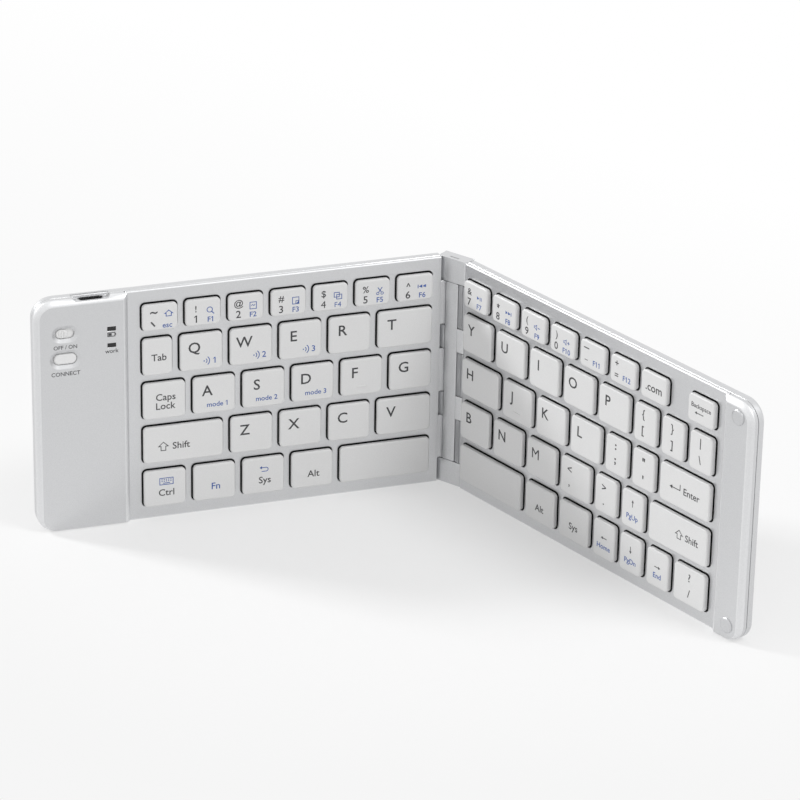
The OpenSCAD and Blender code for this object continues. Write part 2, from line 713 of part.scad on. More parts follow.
left_rear_shell();
left_key_frame();
left_end_cover();
left_guide_plate();
left_membrane();
left_domes();
left_support_plate();
battery();
circuit_board();
charging_port();
indicator_windows();
power_slider();
connect_button();
left_screws();
left_feet();
left_magnets();
right_rear_shell();
right_key_frame();
right_end_cover();
right_guide_plate();
right_membrane();
right_domes();
right_support_plate();
right_screws();
right_feet();
right_bumpers();
right_magnets();
hinge_spine();
spine_cover();
spine_rear_cover();
left_hinge_pin();
right_hinge_pin();
flex_cable();

KEY_NODES = [for (n = NODES) if (n[0] == "k" && n[1] == "e" && n[2] == "y") n];
for (n = KEY_NODES)
  key_node(n);
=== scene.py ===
"""Looks of a folding keyboard that stands half open on its long edge.

Every visible shell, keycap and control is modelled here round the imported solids. Each half
is drawn flat, in millimetres: x runs out from its hinge axis, z up its rows, and -y is the
side of the keys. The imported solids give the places, and the sizes below give the detail.
"""

import json
import math
from collections import namedtuple

import bmesh
import bpy
from mathutils import Matrix, Vector

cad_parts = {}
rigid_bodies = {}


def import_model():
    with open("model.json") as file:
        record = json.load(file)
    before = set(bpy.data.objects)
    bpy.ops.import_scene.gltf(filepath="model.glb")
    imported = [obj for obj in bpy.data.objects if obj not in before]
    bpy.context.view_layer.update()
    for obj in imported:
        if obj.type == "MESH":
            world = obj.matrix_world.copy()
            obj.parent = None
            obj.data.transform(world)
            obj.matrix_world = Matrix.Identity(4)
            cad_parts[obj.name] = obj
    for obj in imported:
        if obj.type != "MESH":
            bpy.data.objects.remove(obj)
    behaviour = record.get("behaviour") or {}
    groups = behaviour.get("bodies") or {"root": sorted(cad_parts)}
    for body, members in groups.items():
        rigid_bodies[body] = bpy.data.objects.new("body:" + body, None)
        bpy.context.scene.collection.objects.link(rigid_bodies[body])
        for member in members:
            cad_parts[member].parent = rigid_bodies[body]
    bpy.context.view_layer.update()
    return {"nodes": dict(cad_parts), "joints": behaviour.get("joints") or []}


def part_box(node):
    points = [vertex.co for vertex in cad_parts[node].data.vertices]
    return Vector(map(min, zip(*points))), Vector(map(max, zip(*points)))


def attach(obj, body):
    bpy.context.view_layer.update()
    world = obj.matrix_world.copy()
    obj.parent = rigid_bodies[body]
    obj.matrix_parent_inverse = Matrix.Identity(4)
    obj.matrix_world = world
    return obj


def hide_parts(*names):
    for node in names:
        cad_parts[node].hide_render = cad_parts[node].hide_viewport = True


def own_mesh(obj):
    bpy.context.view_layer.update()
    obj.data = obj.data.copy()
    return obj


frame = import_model()

MM = 0.001
Box = namedtuple("Box", "x0 x1 y0 y1 z0 z1")

# Sizes in millimetres
CAP_CORNER = 1.5  # corner radius of a keycap
CAP_FILLET = 0.7  # width of the rounding round a keycap's top
CAP_FILLET_H = 0.45  # depth of that rounding
CAP_UNDERCUT = 0.15  # how far a keycap's sides draw in below the rounding
CAP_TOP = 0.9  # thickness of a keycap's top
CAP_SIDE = 1.65  # height of a keycap's sides
CAP_WALL = 1.0  # thickness of a keycap's sides
DOME_GAP = 0.03  # what is left between a stem and its dome
WINDOW_CORNER = 1.8  # corner radius of the key windows
WINDOW_FILLET = 0.15  # rounding of the key windows' edges
FRAME_CHAMFER = 0.45  # polished edge of the key frames
BEVEL = 2.1  # width of the polished bevel of the end sections
BEVEL_H = 1.7  # depth of that bevel
INNER_SLOPE = 1.9  # width of the slope beside the keys
INNER_FOOT = 1.0  # how much of that slope lies over the key frame
RIM_ROUND = 0.15  # rounding of the rims at the line between front and rear
END_CORNER = 7.0  # corner radius of the outer ends
SINK = 1.4  # width of the countersinks round the controls
SINK_DEPTH = 0.75  # depth of those countersinks
SPINE_KNUCKLE = 9.2  # height of each of the spine's four knuckles
SPINE_REACH = 2.08  # how far the spine's front corners reach from the pin
BODY_GAP = 0.3  # gap between pieces that move past each other
SMALL_ROUND = 0.15  # rounding of small edges
SLIDER_SLOT = (6.8, 3.8)  # power slider's slot
SLIDER_TRAVEL = 2.0  # how far the slider moves
BUTTON_HOLE = (8.6, 4.4)  # pairing button's hole
CONTROL_GAP = 0.3  # clearance round both
PRINT_T = 0.02  # how far the printing stands proud
LETTER_H = 3.9  # height of a letter on a key
SMALL_H = 1.9  # height of the small blue print
CAP_INNER_CORNER = 0.6  # corner radius inside a keycap
WIDE_KEY = 23  # keys wider than this have two stems
STEM = 2.0  # half the width of a keycap's stem
STEM_FOOT = 2.5  # half the width of the stem's foot
STEM_FOOT_H = 0.4  # height of that foot
HINGE_CORNER = 0.3  # corner radius of the shells at the hinge
SHELL_WALL = 1.2  # thickness of the shells' walls
END_TOP = 0.9  # thickness of the end sections' tops
END_SIDE = 0.7  # how much thicker their bevelled sides are
TAIL_IN = 2.0  # width of the trays' rounding at their outer ends
TAIL_DEPTH = 1.6  # depth of that rounding
EDGE_IN = 0.5  # width of the rounding along the trays' long edges
KNUCKLE_ROOT = 0.6  # how far the knuckles reach into the trays
SCREW_GAP = 0.1  # gap round a screw head
SCREW_HEAD_H = 0.45  # height of a screw head
FLANGE = 0.5  # thickness of the controls' flanges
NOTCH_FLOOR = 5.7  # half the width of the port's notch at its floor
NOTCH_MOUTH = 7.5  # half its width at the edge
PORT_WALL = 0.3  # thickness of the port's shell
PORT_LIP = 0.12  # rounding of its mouth
TONGUE = (3.3, 0.35)  # half the width and half the thickness of the port's tongue
HAIR = 1e-3  # keeps the two arcs of a round end apart

ARC_STEPS = 8  # segments of a quarter circle
FILLET_STEPS = 4  # segments of a small rounding
CORNER_STEPS = 6  # segments of a keycap's or window's corner
SHELL_STEPS = 12  # segments of a shell's corner

# Profiles in millimetres, as (how far the outline draws in, depth)
SINK_SHARES = ((1, 0), (0.93, 0.03), (0.85, 0.12), (0, 1))  # countersink, in shares of its size
SCREW_SEAT = ((0.12, 0), (0.03, 0.04), (0, 0.12), (0, SCREW_HEAD_H))
SCREW_HEAD = ((0.3, 0), (0.1, 0.05), (0, 0.2), (0, SCREW_HEAD_H))
SPINE_ENDS = ((0.25, 0), (0.07, 0.07), (0, 0.25))
DOME_FRONT = ((1.15, 0), (0.95, 0.08))  # depth from the front
DOME_REAR = ((0.4, 0.3), (0.3, 0.15), (0, 0.12), (0, 0))  # depth from the rear

# Plan of a half's knuckle in front of its pin
KNUCKLE_NOSE = ((-0.84, -0.7), (-0.68, -0.9), (-0.5, -1))  # in shares of its radius
KNUCKLE_GROOVE = ((1.0, 0), (1.08, 0.38), (1.97, 0.38), (2.05, 0))


# ---- The two halves ----

def joint(name):
    return next(j for j in frame["joints"] if j["name"] == name)


class Half:
    """One half of the keyboard, and the matrix from its flat drawing to the row frame."""

    def __init__(self, name, side, fold, press):
        self.name = name
        self.side = side  # +1 for the right half and -1 for the left
        self.body = name + "_half"
        back = Vector(joint(press)["axis"])
        out = Vector((back.y, -back.x, 0)) * side
        turn = Matrix((out, back, Vector((0, 0, 1)))).transposed().to_4x4()
        place = Matrix.Translation(Vector(joint(fold)["pos_m"]))
        self.matrix = place @ turn @ Matrix.Scale(MM, 4)

    def islands(self, node):
        """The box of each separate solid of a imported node, in the flat drawing."""
        bm = bmesh.new()
        bm.from_mesh(frame["nodes"][node].data)
        bmesh.ops.remove_doubles(bm, verts=bm.verts, dist=1e-7)
        bmesh.ops.transform(bm, matrix=self.matrix.inverted(), verts=bm.verts)
        boxes = []
        left = set(bm.verts)
        while left:
            group = grow(left.pop())
            left -= group
            boxes.append(box_of([v.co for v in group]))
        bm.free()
        return boxes

    def box(self, node):
        boxes = self.islands(node)
        pick = [min, max] * 3
        return Box(*(pick[i](b[i] for b in boxes) for i in range(6)))

    def own(self, part):
        """The box of this half's own node of that kind."""
        return self.box(self.name + "_" + part)


def grow(vert):
    """All vertices that are joined to vert."""
    group = {vert}
    edge = [vert]
    while edge:
        v = edge.pop()
        for e in v.link_edges:
            w = e.other_vert(v)
            if w not in group:
                group.add(w)
                edge.append(w)
    return group


def box_of(points):
    spans = [(min(p[i] for p in points), max(p[i] for p in points)) for i in range(3)]
    return Box(*spans[0], *spans[1], *spans[2])


def middle(b):
    """The middle of a box in x and z."""
    return (b.x0 + b.x1) / 2, (b.z0 + b.z1) / 2


LEFT = Half("left", -1, "fold_left", "key_tab_press")
RIGHT = Half("right", 1, "fold_right", "key_enter_press")
HALVES = (LEFT, RIGHT)


# ---- Outlines and solids ----

def rounded(x0, x1, z0, z1, radii, steps=ARC_STEPS):
    """Rectangle with its own radius at each corner: low x low z, high x low z, and on round."""
    corners = ((x0, z0, 1, 1, 180), (x1, z0, -1, 1, 270),
               (x1, z1, -1, -1, 0), (x0, z1, 1, -1, 90))
    points = []
    for (x, z, sx, sz, start), r in zip(corners, radii):
        r = max(r, 0.02)
        for i in range(steps + 1):
            a = math.radians(start + 90 * i / steps)
            points.append((x + sx * r + r * math.cos(a), z + sz * r + r * math.sin(a)))
    return points


def even(x0, x1, z0, z1, r, steps=ARC_STEPS):
    return rounded(x0, x1, z0, z1, (r,) * 4, steps)


def drawn_in(b, inset, r, steps=ARC_STEPS):
    """The plan of a box, drawn in on every side."""
    return even(b.x0 + inset, b.x1 - inset, b.z0 + inset, b.z1 - inset, r, steps)


def rectangle(x0, x1, z0, z1):
    return [(x0, z0), (x1, z0), (x1, z1), (x0, z1)]


def oval(x, z, length, height, grow_by=0.0):
    """Slot with round ends."""
    w = length / 2 + grow_by
    h = height / 2 + grow_by
    return even(x - w, x + w, z - h, z + h, min(w, h) - HAIR)


def arc_profile(width, depth, steps=FILLET_STEPS):
    """Rounding from a flat face over to its side, as [(share of the way in, depth)]."""
    turns = [math.pi / 2 * i / steps for i in range(steps + 1)]
    return [(width * (1 - math.sin(a)), depth * (1 - math.cos(a))) for a in turns]


def bevel_profile(width, depth, steps=6):
    """Bevel that is between a chamfer and a rounding."""
    points = []
    for i in range(steps + 1):
        t = i / steps
        a = math.pi / 2 * t
        points.append((width * (1 - (t + math.sin(a)) / 2), depth * (t + 1 - math.cos(a)) / 2))
    return points


def linked(name, data):
    """A new object in the scene."""
    obj = bpy.data.objects.new(name, data)
    bpy.context.scene.collection.objects.link(obj)
    return obj


class Solid:
    """A mesh that is built ring by ring in a flat drawing."""

    def __init__(self):
        self.bm = bmesh.new()

    def ring(self, outline, y):
        return [self.bm.verts.new((x, y, z)) for x, z in outline]

    def flat_ring(self, outline, z):
        return [self.bm.verts.new((x, y, z)) for x, y in outline]

    def skin(self, rings, material=0):
        for a, b in zip(rings, rings[1:]):
            for i in range(len(a)):
                j = (i + 1) % len(a)
                face = self.bm.faces.new((a[i], a[j], b[j], b[i]))
                face.material_index = material

    def fill(self, loops, material=0):
        """Flat face inside the first loop and outside the others."""
        if len(loops) == 1:
            self.bm.faces.new(loops[0]).material_index = material
            return
        edges = []
        for loop in loops:
            for i, v in enumerate(loop):
                w = loop[(i + 1) % len(loop)]
                edges.append(self.bm.edges.get((v, w)) or self.bm.edges.new((v, w)))
        made = bmesh.ops.triangle_fill(self.bm, use_beauty=True, edges=edges)
        for item in made["geom"]:
            if isinstance(item, bmesh.types.BMFace):
                item.material_index = material

    def closed(self, rings, material=0):
        """Skin over the rings, with both ends filled."""
        self.skin(rings, material)
        self.fill([rings[0]], material)
        self.fill([rings[-1]], material)

    def block(self, plan, front, rear, fillet, depth, steps=5):
        """Closed block with a rounded front edge. plan(inset) is its outline, drawn in."""
        way = 1 if rear > front else -1
        rings = [self.ring(plan(i), front + way * d) for i, d in arc_profile(fillet, depth, steps)]
        self.closed([*rings, self.ring(plan(0), rear)])

    def plain(self, name, matrix, materials=(), smooth=32):
        """The bare object."""
        bm = self.bm
        bmesh.ops.recalc_face_normals(bm, faces=bm.faces)
        bmesh.ops.transform(bm, matrix=matrix, verts=bm.verts)
        if matrix.determinant() < 0:
            bmesh.ops.reverse_faces(bm, faces=bm.faces)
        mesh = bpy.data.meshes.new(name)
        bm.to_mesh(mesh)
        bm.free()
        for m in materials:
            mesh.materials.append(m)
        mesh.polygons.foreach_set("use_smooth", [True] * len(mesh.polygons))
        mesh.set_sharp_from_angle(angle=math.radians(smooth))
        return linked(name, mesh)

    def finish(self, name, matrix, body, materials, slot, replaces=(), smooth=32):
        """The object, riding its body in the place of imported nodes."""
        obj = self.plain(name, matrix, materials, smooth)
        weighted = obj.modifiers.new("even_shading", "WEIGHTED_NORMAL")
        weighted.keep_sharp = True
        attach(obj, body)
        if replaces:
            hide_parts(*replaces)
        return obj


def cut_away(obj, cutters):
    """Takes closed cutter solids out of obj."""
    shading = obj.modifiers["even_shading"]
    shading.show_viewport = False
    for cutter in cutters:
        mod = obj.modifiers.new("cut", "BOOLEAN")
        mod.object = cutter
        mod.operation = "DIFFERENCE"
        mod.solver = "EXACT"
        mod.use_self = True
    graph = bpy.context.evaluated_depsgraph_get()
    obj.data = bpy.data.meshes.new_from_object(obj.evaluated_get(graph))
    for mod in [m for m in obj.modifiers if m.type == "BOOLEAN"]:
        obj.modifiers.remove(mod)
    shading.show_viewport = True
    for cutter in cutters:
        bpy.data.objects.remove(cutter)


# ---- Materials ----

def shader_node(tree, kind, inputs, **settings):
    """A new node. Each of its inputs is a value, or a socket to link."""
    node = tree.nodes.new("ShaderNode" + kind)
    for key, value in settings.items():
        setattr(node, key, value)
    for key, value in inputs.items():
        if isinstance(value, bpy.types.NodeSocket):
            tree.links.new(value, node.inputs[key])
        else:
            node.inputs[key].default_value = value
    return node


class Nodes:
    """A material's node tree, with short ways to add what the finishes share."""

    def __init__(self, name):
        self.material = bpy.data.materials.new(name)
        self.material.use_nodes = True
        self.tree = self.material.node_tree
        self.shader = self.tree.nodes["Principled BSDF"]
        self.place = shader_node(self.tree, "TexCoord", {}).outputs["Object"]

    def set(self, **values):
        for key, value in values.items():
            self.shader.inputs[key.replace("_", " ")].default_value = value
        return self

    def noise(self, size_mm):
        inputs = {"Scale": 1 / (size_mm * MM), "Detail": 2.0, "Vector": self.place}
        return shader_node(self.tree, "TexNoise", inputs).outputs["Fac"]

    def spread(self, value, low, high):
        """Maps noise to a range of numbers or colours."""
        node = shader_node(self.tree, "ValToRGB", {"Fac": value})
        ramp = node.color_ramp.elements
        ramp[0].position, ramp[1].position = 0.3, 0.7
        for element, c in zip(ramp, (low, high)):
            element.color = (*c, 1) if isinstance(c, tuple) else (c, c, c, 1)
        return node.outputs["Color"]

    def link(self, value, socket):
        self.tree.links.new(value, self.shader.inputs[socket])

    def bump(self, value, height_mm):
        inputs = {"Distance": height_mm * MM, "Strength": 0.3, "Height": value}
        self.link(shader_node(self.tree, "Bump", inputs).outputs["Normal"], "Normal")


def grained(name, low, high, grain_mm, rough, bump_mm=0.004, uneven=0.04, **values):
    """Finish with a fine grain in colour, roughness and height."""
    made = Nodes(name).set(**values)
    grain = made.noise(grain_mm)
    made.link(made.spread(grain, low, high), "Base Color")
    made.link(made.spread(made.noise(grain_mm * 3), rough - uneven, rough + uneven), "Roughness")
    made.bump(grain, bump_mm)
    return made.material


SILVER = grained("silver_paint", (0.62, 0.625, 0.635), (0.69, 0.695, 0.705), 0.25, 0.34, 0.002,
                 Metallic=0.95)
POLISHED = grained("polished_edge", (0.76, 0.765, 0.775), (0.80, 0.805, 0.815), 0.6, 0.46, 0.0001,
                   0.008, Metallic=0.85)
KEYCAP = grained("keycap_plastic", (0.74, 0.74, 0.74), (0.78, 0.78, 0.78), 0.3, 0.38, 0.003)
CONTROL = grained("control_plastic", (0.80, 0.80, 0.80), (0.84, 0.84, 0.84), 0.4, 0.25, 0.001)
BLACK = grained("black_plastic", (0.012, 0.012, 0.013), (0.02, 0.02, 0.022), 0.3, 0.5)
WINDOW = grained("smoked_window", (0.006, 0.006, 0.007), (0.012, 0.012, 0.013), 0.5, 0.15, 0.001)
STEEL = grained("bright_steel", (0.42, 0.42, 0.43), (0.55, 0.55, 0.56), 0.4, 0.28, 0.001,
                Metallic=1.0)
RUBBER = grained("foot_rubber", (0.03, 0.03, 0.032), (0.05, 0.05, 0.053), 0.2, 0.75, 0.01)
BUMPER = grained("bumper_plastic", (0.59, 0.595, 0.605), (0.64, 0.645, 0.655), 0.3, 0.36, 0.0003,
                 Metallic=0.9)
GREY_INK = grained("grey_ink", (0.04, 0.04, 0.043), (0.06, 0.06, 0.064), 0.15, 0.55)
BLUE_INK = grained("blue_ink", (0.03, 0.09, 0.34), (0.045, 0.12, 0.4), 0.15, 0.55)
SILICONE = grained("dome_silicone", (0.66, 0.68, 0.7), (0.72, 0.74, 0.76), 0.5, 0.6)
CAD_FINISHES = {
    "guide_plate": BLACK,
    "membrane": grained("membrane_film", (0.25, 0.34, 0.42), (0.3, 0.4, 0.48), 1.0, 0.35),
    "support_plate": STEEL,
    "battery": grained("pouch_foil", (0.42, 0.43, 0.44), (0.5, 0.51, 0.52), 1.5, 0.3, Metallic=0.6),
    "circuit_board": grained("solder_mask", (0.02, 0.12, 0.05), (0.03, 0.17, 0.08), 0.6, 0.35),
    "charging_port": STEEL,
    "indicator_windows": WINDOW,
    "magnets": STEEL,
    "pin": STEEL,
    "flex_cable": grained("polyimide_film", (0.5, 0.25, 0.04), (0.6, 0.3, 0.06), 0.6, 0.3),
}


def dress_cad_nodes():
    for name, obj in frame["nodes"].items():
        for ending, material in CAD_FINISHES.items():
            if name.endswith(ending):
                obj.data.materials.clear()
                obj.data.materials.append(material)


# ---- Shells ----

def frame_outline(b, inset):
    """The key frame's plan, drawn in on the long edges and at the hinge."""
    return even(b.x0 + inset, b.x1, b.z0 + inset, b.z1 - inset, 0.25)


def key_windows(half, keys):
    """The windows' places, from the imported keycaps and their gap."""
    gap = WINDOW_CORNER - CAP_CORNER + 0.1
    return [Box(b.x0 - gap, b.x1 + gap, b.y0, b.y1, b.z0 - gap, b.z1 + gap)
            for node in keys for b in half.islands(node)]


def key_frame(half, keys):
    whole = half.own("key_frame")
    guide = half.own("guide_plate")
    rim_y = half.own("end_cover").y1
    under_y = guide.y0 - 0.1
    solid = Solid()
    outer = [solid.ring(frame_outline(whole, i), whole.y0 + d)
             for i, d in arc_profile(FRAME_CHAMFER, FRAME_CHAMFER * 0.8, 3)]
    outer.append(solid.ring(frame_outline(whole, 0), rim_y - RIM_ROUND))
    outer.append(solid.ring(frame_outline(whole, RIM_ROUND), rim_y))
    wall = guide.x0 - whole.x0
    inner = [solid.ring(frame_outline(whole, wall), y) for y in (rim_y, under_y)]
    solid.skin(outer[:-2], 1)
    solid.skin(outer[-3:])
    solid.skin([outer[-1], *inner])
    fronts = [outer[0]]
    backs = [inner[-1]]
    for window in key_windows(half, keys):
        rings = [solid.ring(drawn_in(window, -i, WINDOW_CORNER + i, CORNER_STEPS), whole.y0 + d)
                 for i, d in arc_profile(WINDOW_FILLET, WINDOW_FILLET, 3)]
        rings.append(solid.ring(drawn_in(window, 0, WINDOW_CORNER, CORNER_STEPS), under_y))
        solid.skin(rings)
        fronts.append(rings[0])
        backs.append(rings[-1])
    solid.fill(fronts)
    solid.fill(backs)
    solid.finish(half.name + "_key_frame_shell", half.matrix, half.body,
                 [SILVER, POLISHED], "silver", [half.name + "_key_frame"])


def shell_plan(x0, x1, z0, z1, drawn=0.0):
    """Plan of a shell: nearly square at the hinge, and round at its outer corners."""
    r = END_CORNER - drawn
    return rounded(x0, x1, z0, z1, (HINGE_CORNER, r, r, HINGE_CORNER), SHELL_STEPS)


def end_outline(x0, b, share):
    """Plan of an end section, drawn in by a share of the bevel's width."""
    d = share * BEVEL
    return shell_plan(x0 + share * INNER_SLOPE - INNER_FOOT, b.x1 - d, b.z0 + d / 4, b.z1 - d, d)


def end_cover(half, holes=()):
    """Raised end section. Each hole is (outline by growth, width of its countersink)."""
    b = half.own("end_cover")
    solid = Solid()
    rings = [solid.ring(end_outline(b.x0, b, share), b.y0 + depth)
             for share, depth in bevel_profile(1, BEVEL_H)]
    r, wall, side = RIM_ROUND, SHELL_WALL, SHELL_WALL + END_SIDE
    ceiling_y = b.y0 + END_TOP
    foot_y = half.own("key_frame").y0 - PRINT_T
    sides = [rings[-1], solid.ring(end_outline(b.x0, b, 0), foot_y),
             solid.ring(end_outline(b.x0 + INNER_FOOT, b, 0), foot_y),
             solid.ring(end_outline(b.x0 + INNER_FOOT, b, 0), b.y1 - r),
             solid.ring(shell_plan(b.x0, b.x1 - r, b.z0 + r, b.z1 - r), b.y1)]
    inner = [solid.ring(shell_plan(b.x0 + wall, b.x1 - side, b.z0 + wall, b.z1 - side, wall), y)
             for y in (b.y1, ceiling_y)]
    solid.skin(rings, 1)
    solid.skin(sides)
    solid.skin([sides[-1], *inner])
    fronts = [rings[0]]
    backs = [inner[-1]]
    for outline, sink in holes:
        depth = min(SINK_DEPTH, sink)
        hole = [solid.ring(outline(sink * out), b.y0 + depth * down) for out, down in SINK_SHARES]
        hole.append(solid.ring(outline(0), ceiling_y))
        solid.skin(hole)
        fronts.append(hole[0])
        backs.append(hole[-1])
    solid.fill(fronts)
    solid.fill(backs)
    return solid.finish(half.name + "_end_shell", half.matrix, half.body, [SILVER, POLISHED],
                        "silver", [half.name + "_end_cover"])


def rear_shell(half):
    """Tray whose rear edge is rounded, with knuckles round the hinge pin."""
    b = half.own("rear_shell")
    x0 = half.own("key_frame").x0
    rim_y = half.own("end_cover").y1
    solid = Solid()

    def plan(t, y):
        return solid.ring(shell_plan(x0, b.x1 - t * TAIL_IN, b.z0 + t * EDGE_IN,
                                     b.z1 - t * EDGE_IN), y)

    rings = [plan(RIM_ROUND / EDGE_IN, rim_y), plan(0, rim_y + RIM_ROUND),
             plan(0, b.y1 - TAIL_DEPTH)]
    for i in range(1, ARC_STEPS + 1):
        a = math.pi / 2 * i / ARC_STEPS
        rings.append(plan(1 - math.cos(a), b.y1 - TAIL_DEPTH * (1 - math.sin(a))))
    wall = SHELL_WALL
    inner = [solid.ring(shell_plan(x0 + wall, b.x1 - wall - TAIL_IN / 2, b.z0 + wall,
                                   b.z1 - wall, wall), y)
             for y in (half.own("support_plate").y1, rim_y)]
    solid.skin([*inner, *rings])
    solid.fill([inner[0]])
    fronts = [rings[-1]]
    for s in half.islands(half.name + "_screws"):
        width = s.x1 - s.x0
        recess = [solid.ring(oval(*middle(s), width, width, SCREW_GAP + i), b.y1 - d)
                  for i, d in SCREW_SEAT]
        solid.skin(recess)
        solid.fill([recess[-1]])
        fronts.append(recess[0])
    solid.fill(fronts)
    knuckles(solid, b, x0)
    return solid.finish(half.name + "_rear_tray", half.matrix, half.body, [SILVER], "silver",
                        [half.name + "_rear_shell"])


def knuckles(solid, shell, x0):
    """The half's knuckles, between the spine's."""
    r = SMALL_ROUND
    for z0, z1 in half_spans(shell.z1):
        rings = []
        for inset, z in ((r, z0), (0, z0 + r), (0, z1 - r), (r, z1)):
            section = knuckle_section(-shell.x0 - inset, x0 + KNUCKLE_ROOT, shell.y1 - inset)
            rings.append(solid.flat_ring(section, z))
        solid.closed(rings)


def spine_spans(height):
    """Lower and upper end of each of the spine's knuckles."""
    step = (height - 4 * SPINE_KNUCKLE) / 3
    starts = [i * (SPINE_KNUCKLE + step) for i in range(4)]
    return [(z, z + SPINE_KNUCKLE) for z in starts]


def half_spans(height):
    """Lower and upper end of each of a half's knuckles, between the spine's."""
    spans = spine_spans(height)
    return [(below[1] + BODY_GAP / 2, above[0] - BODY_GAP / 2)
            for below, above in zip(spans, spans[1:])]


def knuckle_section(r, x1, rear_y):
    """Plan of a knuckle: full at the front edge, round towards the spine, square at the rear.

    The groove in front takes in the edge of the spine's cover when the keyboard is folded.
    """
    arc = [math.radians(90 + 110 * i / ARC_STEPS) for i in range(ARC_STEPS + 1)]
    return [(x1, rear_y), (0, rear_y), *[(r * math.cos(a), r * math.sin(a)) for a in arc],
            *[(x * r, y * r) for x, y in KNUCKLE_NOSE],
            *[(x, depth - r) for x, depth in KNUCKLE_GROOVE], (x1, -r)]


# ---- Keys ----

def keycap(solid, b):
    """Low cap with a softly rounded top edge, hollow underneath, on its stems."""
    skirt_y, ceiling_y, foot_y = b.y0 + CAP_SIDE, b.y0 + CAP_TOP, b.y1 - STEM_FOOT_H
    rings = [solid.ring(drawn_in(b, i, CAP_CORNER - i / 2, CORNER_STEPS), b.y0 + d)
             for i, d in arc_profile(CAP_FILLET, CAP_FILLET_H, 5)]
    u = CAP_UNDERCUT
    rings.append(solid.ring(drawn_in(b, u, CAP_CORNER - u, CORNER_STEPS), skirt_y))
    rings += [solid.ring(drawn_in(b, CAP_WALL, CAP_INNER_CORNER, CORNER_STEPS), y)
              for y in (skirt_y, ceiling_y)]
    solid.closed(rings)
    stems = 2 if b.x1 - b.x0 > WIDE_KEY else 1
    z = middle(b)[1]
    for i in range(stems):
        x = b.x0 + (b.x1 - b.x0) * (2 * i + 1) / (2 * stems)
        solid.closed([solid.ring(even(x - w, x + w, z - w, z + w, 0.3, 2), y) for w, y in (
            (STEM, ceiling_y - 0.1), (STEM, foot_y), (STEM_FOOT, foot_y),
            (STEM_FOOT, b.y1 - DOME_GAP))])


def key_caps(half, node):
    solid = Solid()
    for b in half.islands(node):
        keycap(solid, b)
    solid.finish(node + "_cap", half.matrix, node, [KEYCAP], "keycap", [node], smooth=40)


def key_domes(half, node):
    """Silicone domes under a node's keys."""
    caps = half.islands(node)
    solid = Solid()
    for b in half.islands(half.name + "_domes"):
        (x, z), r = middle(b), (b.x1 - b.x0) / 2 - HAIR
        if not any(c.x0 < x < c.x1 and c.z0 < z < c.z1 for c in caps):
            continue
        profile = [(i, b.y0 + d) for i, d in DOME_FRONT] + [(i, b.y1 - d) for i, d in DOME_REAR]
        solid.closed([solid.ring(even(x - r + i, x + r - i, z - r + i, z + r - i, r - i, 4), y)
                      for i, y in profile])
    domes = solid.finish(node + "_domes", half.matrix, half.body, [SILICONE], "dome_rubber",
                         [half.name + "_domes"])
    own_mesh(domes)


KEY_NODES = {half: [j["child"] for j in frame["joints"]
                    if j["parent"] == half.body and j["child"].startswith("key")]
             for half in HALVES}


# ---- Spine ----

def spine_section(cad, inset, seat):
    """Plan of the spine's blocks, with rounded corners in front."""
    r, reach = -cad.y0 - inset, SPINE_REACH - inset
    pin_x = cad.x1 + cad.y0
    start = math.acos(r / reach)
    arc = [start + (math.pi / 2 - 2 * start) * i / ARC_STEPS for i in range(ARC_STEPS + 1)]
    right = [(pin_x + r, cad.y1)]
    right += [(pin_x + reach * math.cos(a), -reach * math.sin(a)) for a in arc]
    if seat:
        edge = seat.x1 + 0.1
        right += [(edge, -r), (edge, seat.y1)]
    return right + [(-x, y) for x, y in reversed(right)]


COVER_SEAT = box_of([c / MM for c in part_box("spine_cover")])
SPINE_MATRIX = Matrix.Scale(MM, 4)


def spine(cad):
    """Four knuckle blocks on a narrow web, with a slit in the uppermost one."""
    solid = Solid()
    spans = spine_spans(cad.z1)
    for z0, z1 in spans:
        seat = COVER_SEAT if spans[0][0] < z0 < spans[-1][0] else None
        ends = [(i, z0 + d) for i, d in SPINE_ENDS] + [(i, z1 - d) for i, d in SPINE_ENDS[::-1]]
        rings = [solid.flat_ring(spine_section(cad, inset, seat), z) for inset, z in ends]
        solid.skin(rings)
        solid.fill([rings[0]])
        if z1 < spans[-1][1]:
            solid.fill([rings[-1]])
            continue
        slit = rectangle(-2, 1.9, cad.y0 + 1.15, cad.y0 + 1.5)
        slot = [solid.flat_ring(slit, z) for z in (z1, z1 - 0.8)]
        solid.skin(slot)
        solid.fill([rings[-1], slot[0]])
        solid.fill([slot[1]])
    web = rectangle(-2, 2, cad.y0 + 0.4, cad.y1)
    solid.closed([solid.flat_ring(web, z) for z in (0.5, cad.z1 - 1.5)])
    solid.finish("spine_body", SPINE_MATRIX, "spine", [SILVER], "silver", ["hinge_spine"])


def comb(cad, inset):
    """Outline of the rear cover: wide over the knuckles and narrow between them."""
    spans = spine_spans(cad.z1)
    narrow = cad.x1 + cad.y0 - BODY_GAP
    right = []
    for i, (z0, z1) in enumerate(spans):
        if i > 0:
            right.append((narrow - inset, z0 + inset))
        right += [(cad.x1 - inset, z0 + inset), (cad.x1 - inset, z1 - inset)]
        if i < len(spans) - 1:
            right.append((narrow - inset, z1 - inset))
    return right + [(-x, z) for x, z in reversed(right)]


def spine_rear_cover(cad):
    rear = box_of([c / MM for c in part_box("spine_rear_cover")])
    solid = Solid()
    solid.block(lambda inset: comb(cad, inset), rear.y1, rear.y0, 0.2, 0.2, 3)
    solid.finish("spine_back", SPINE_MATRIX, "spine", [SILVER], "silver",
                 ["spine_rear_cover"])


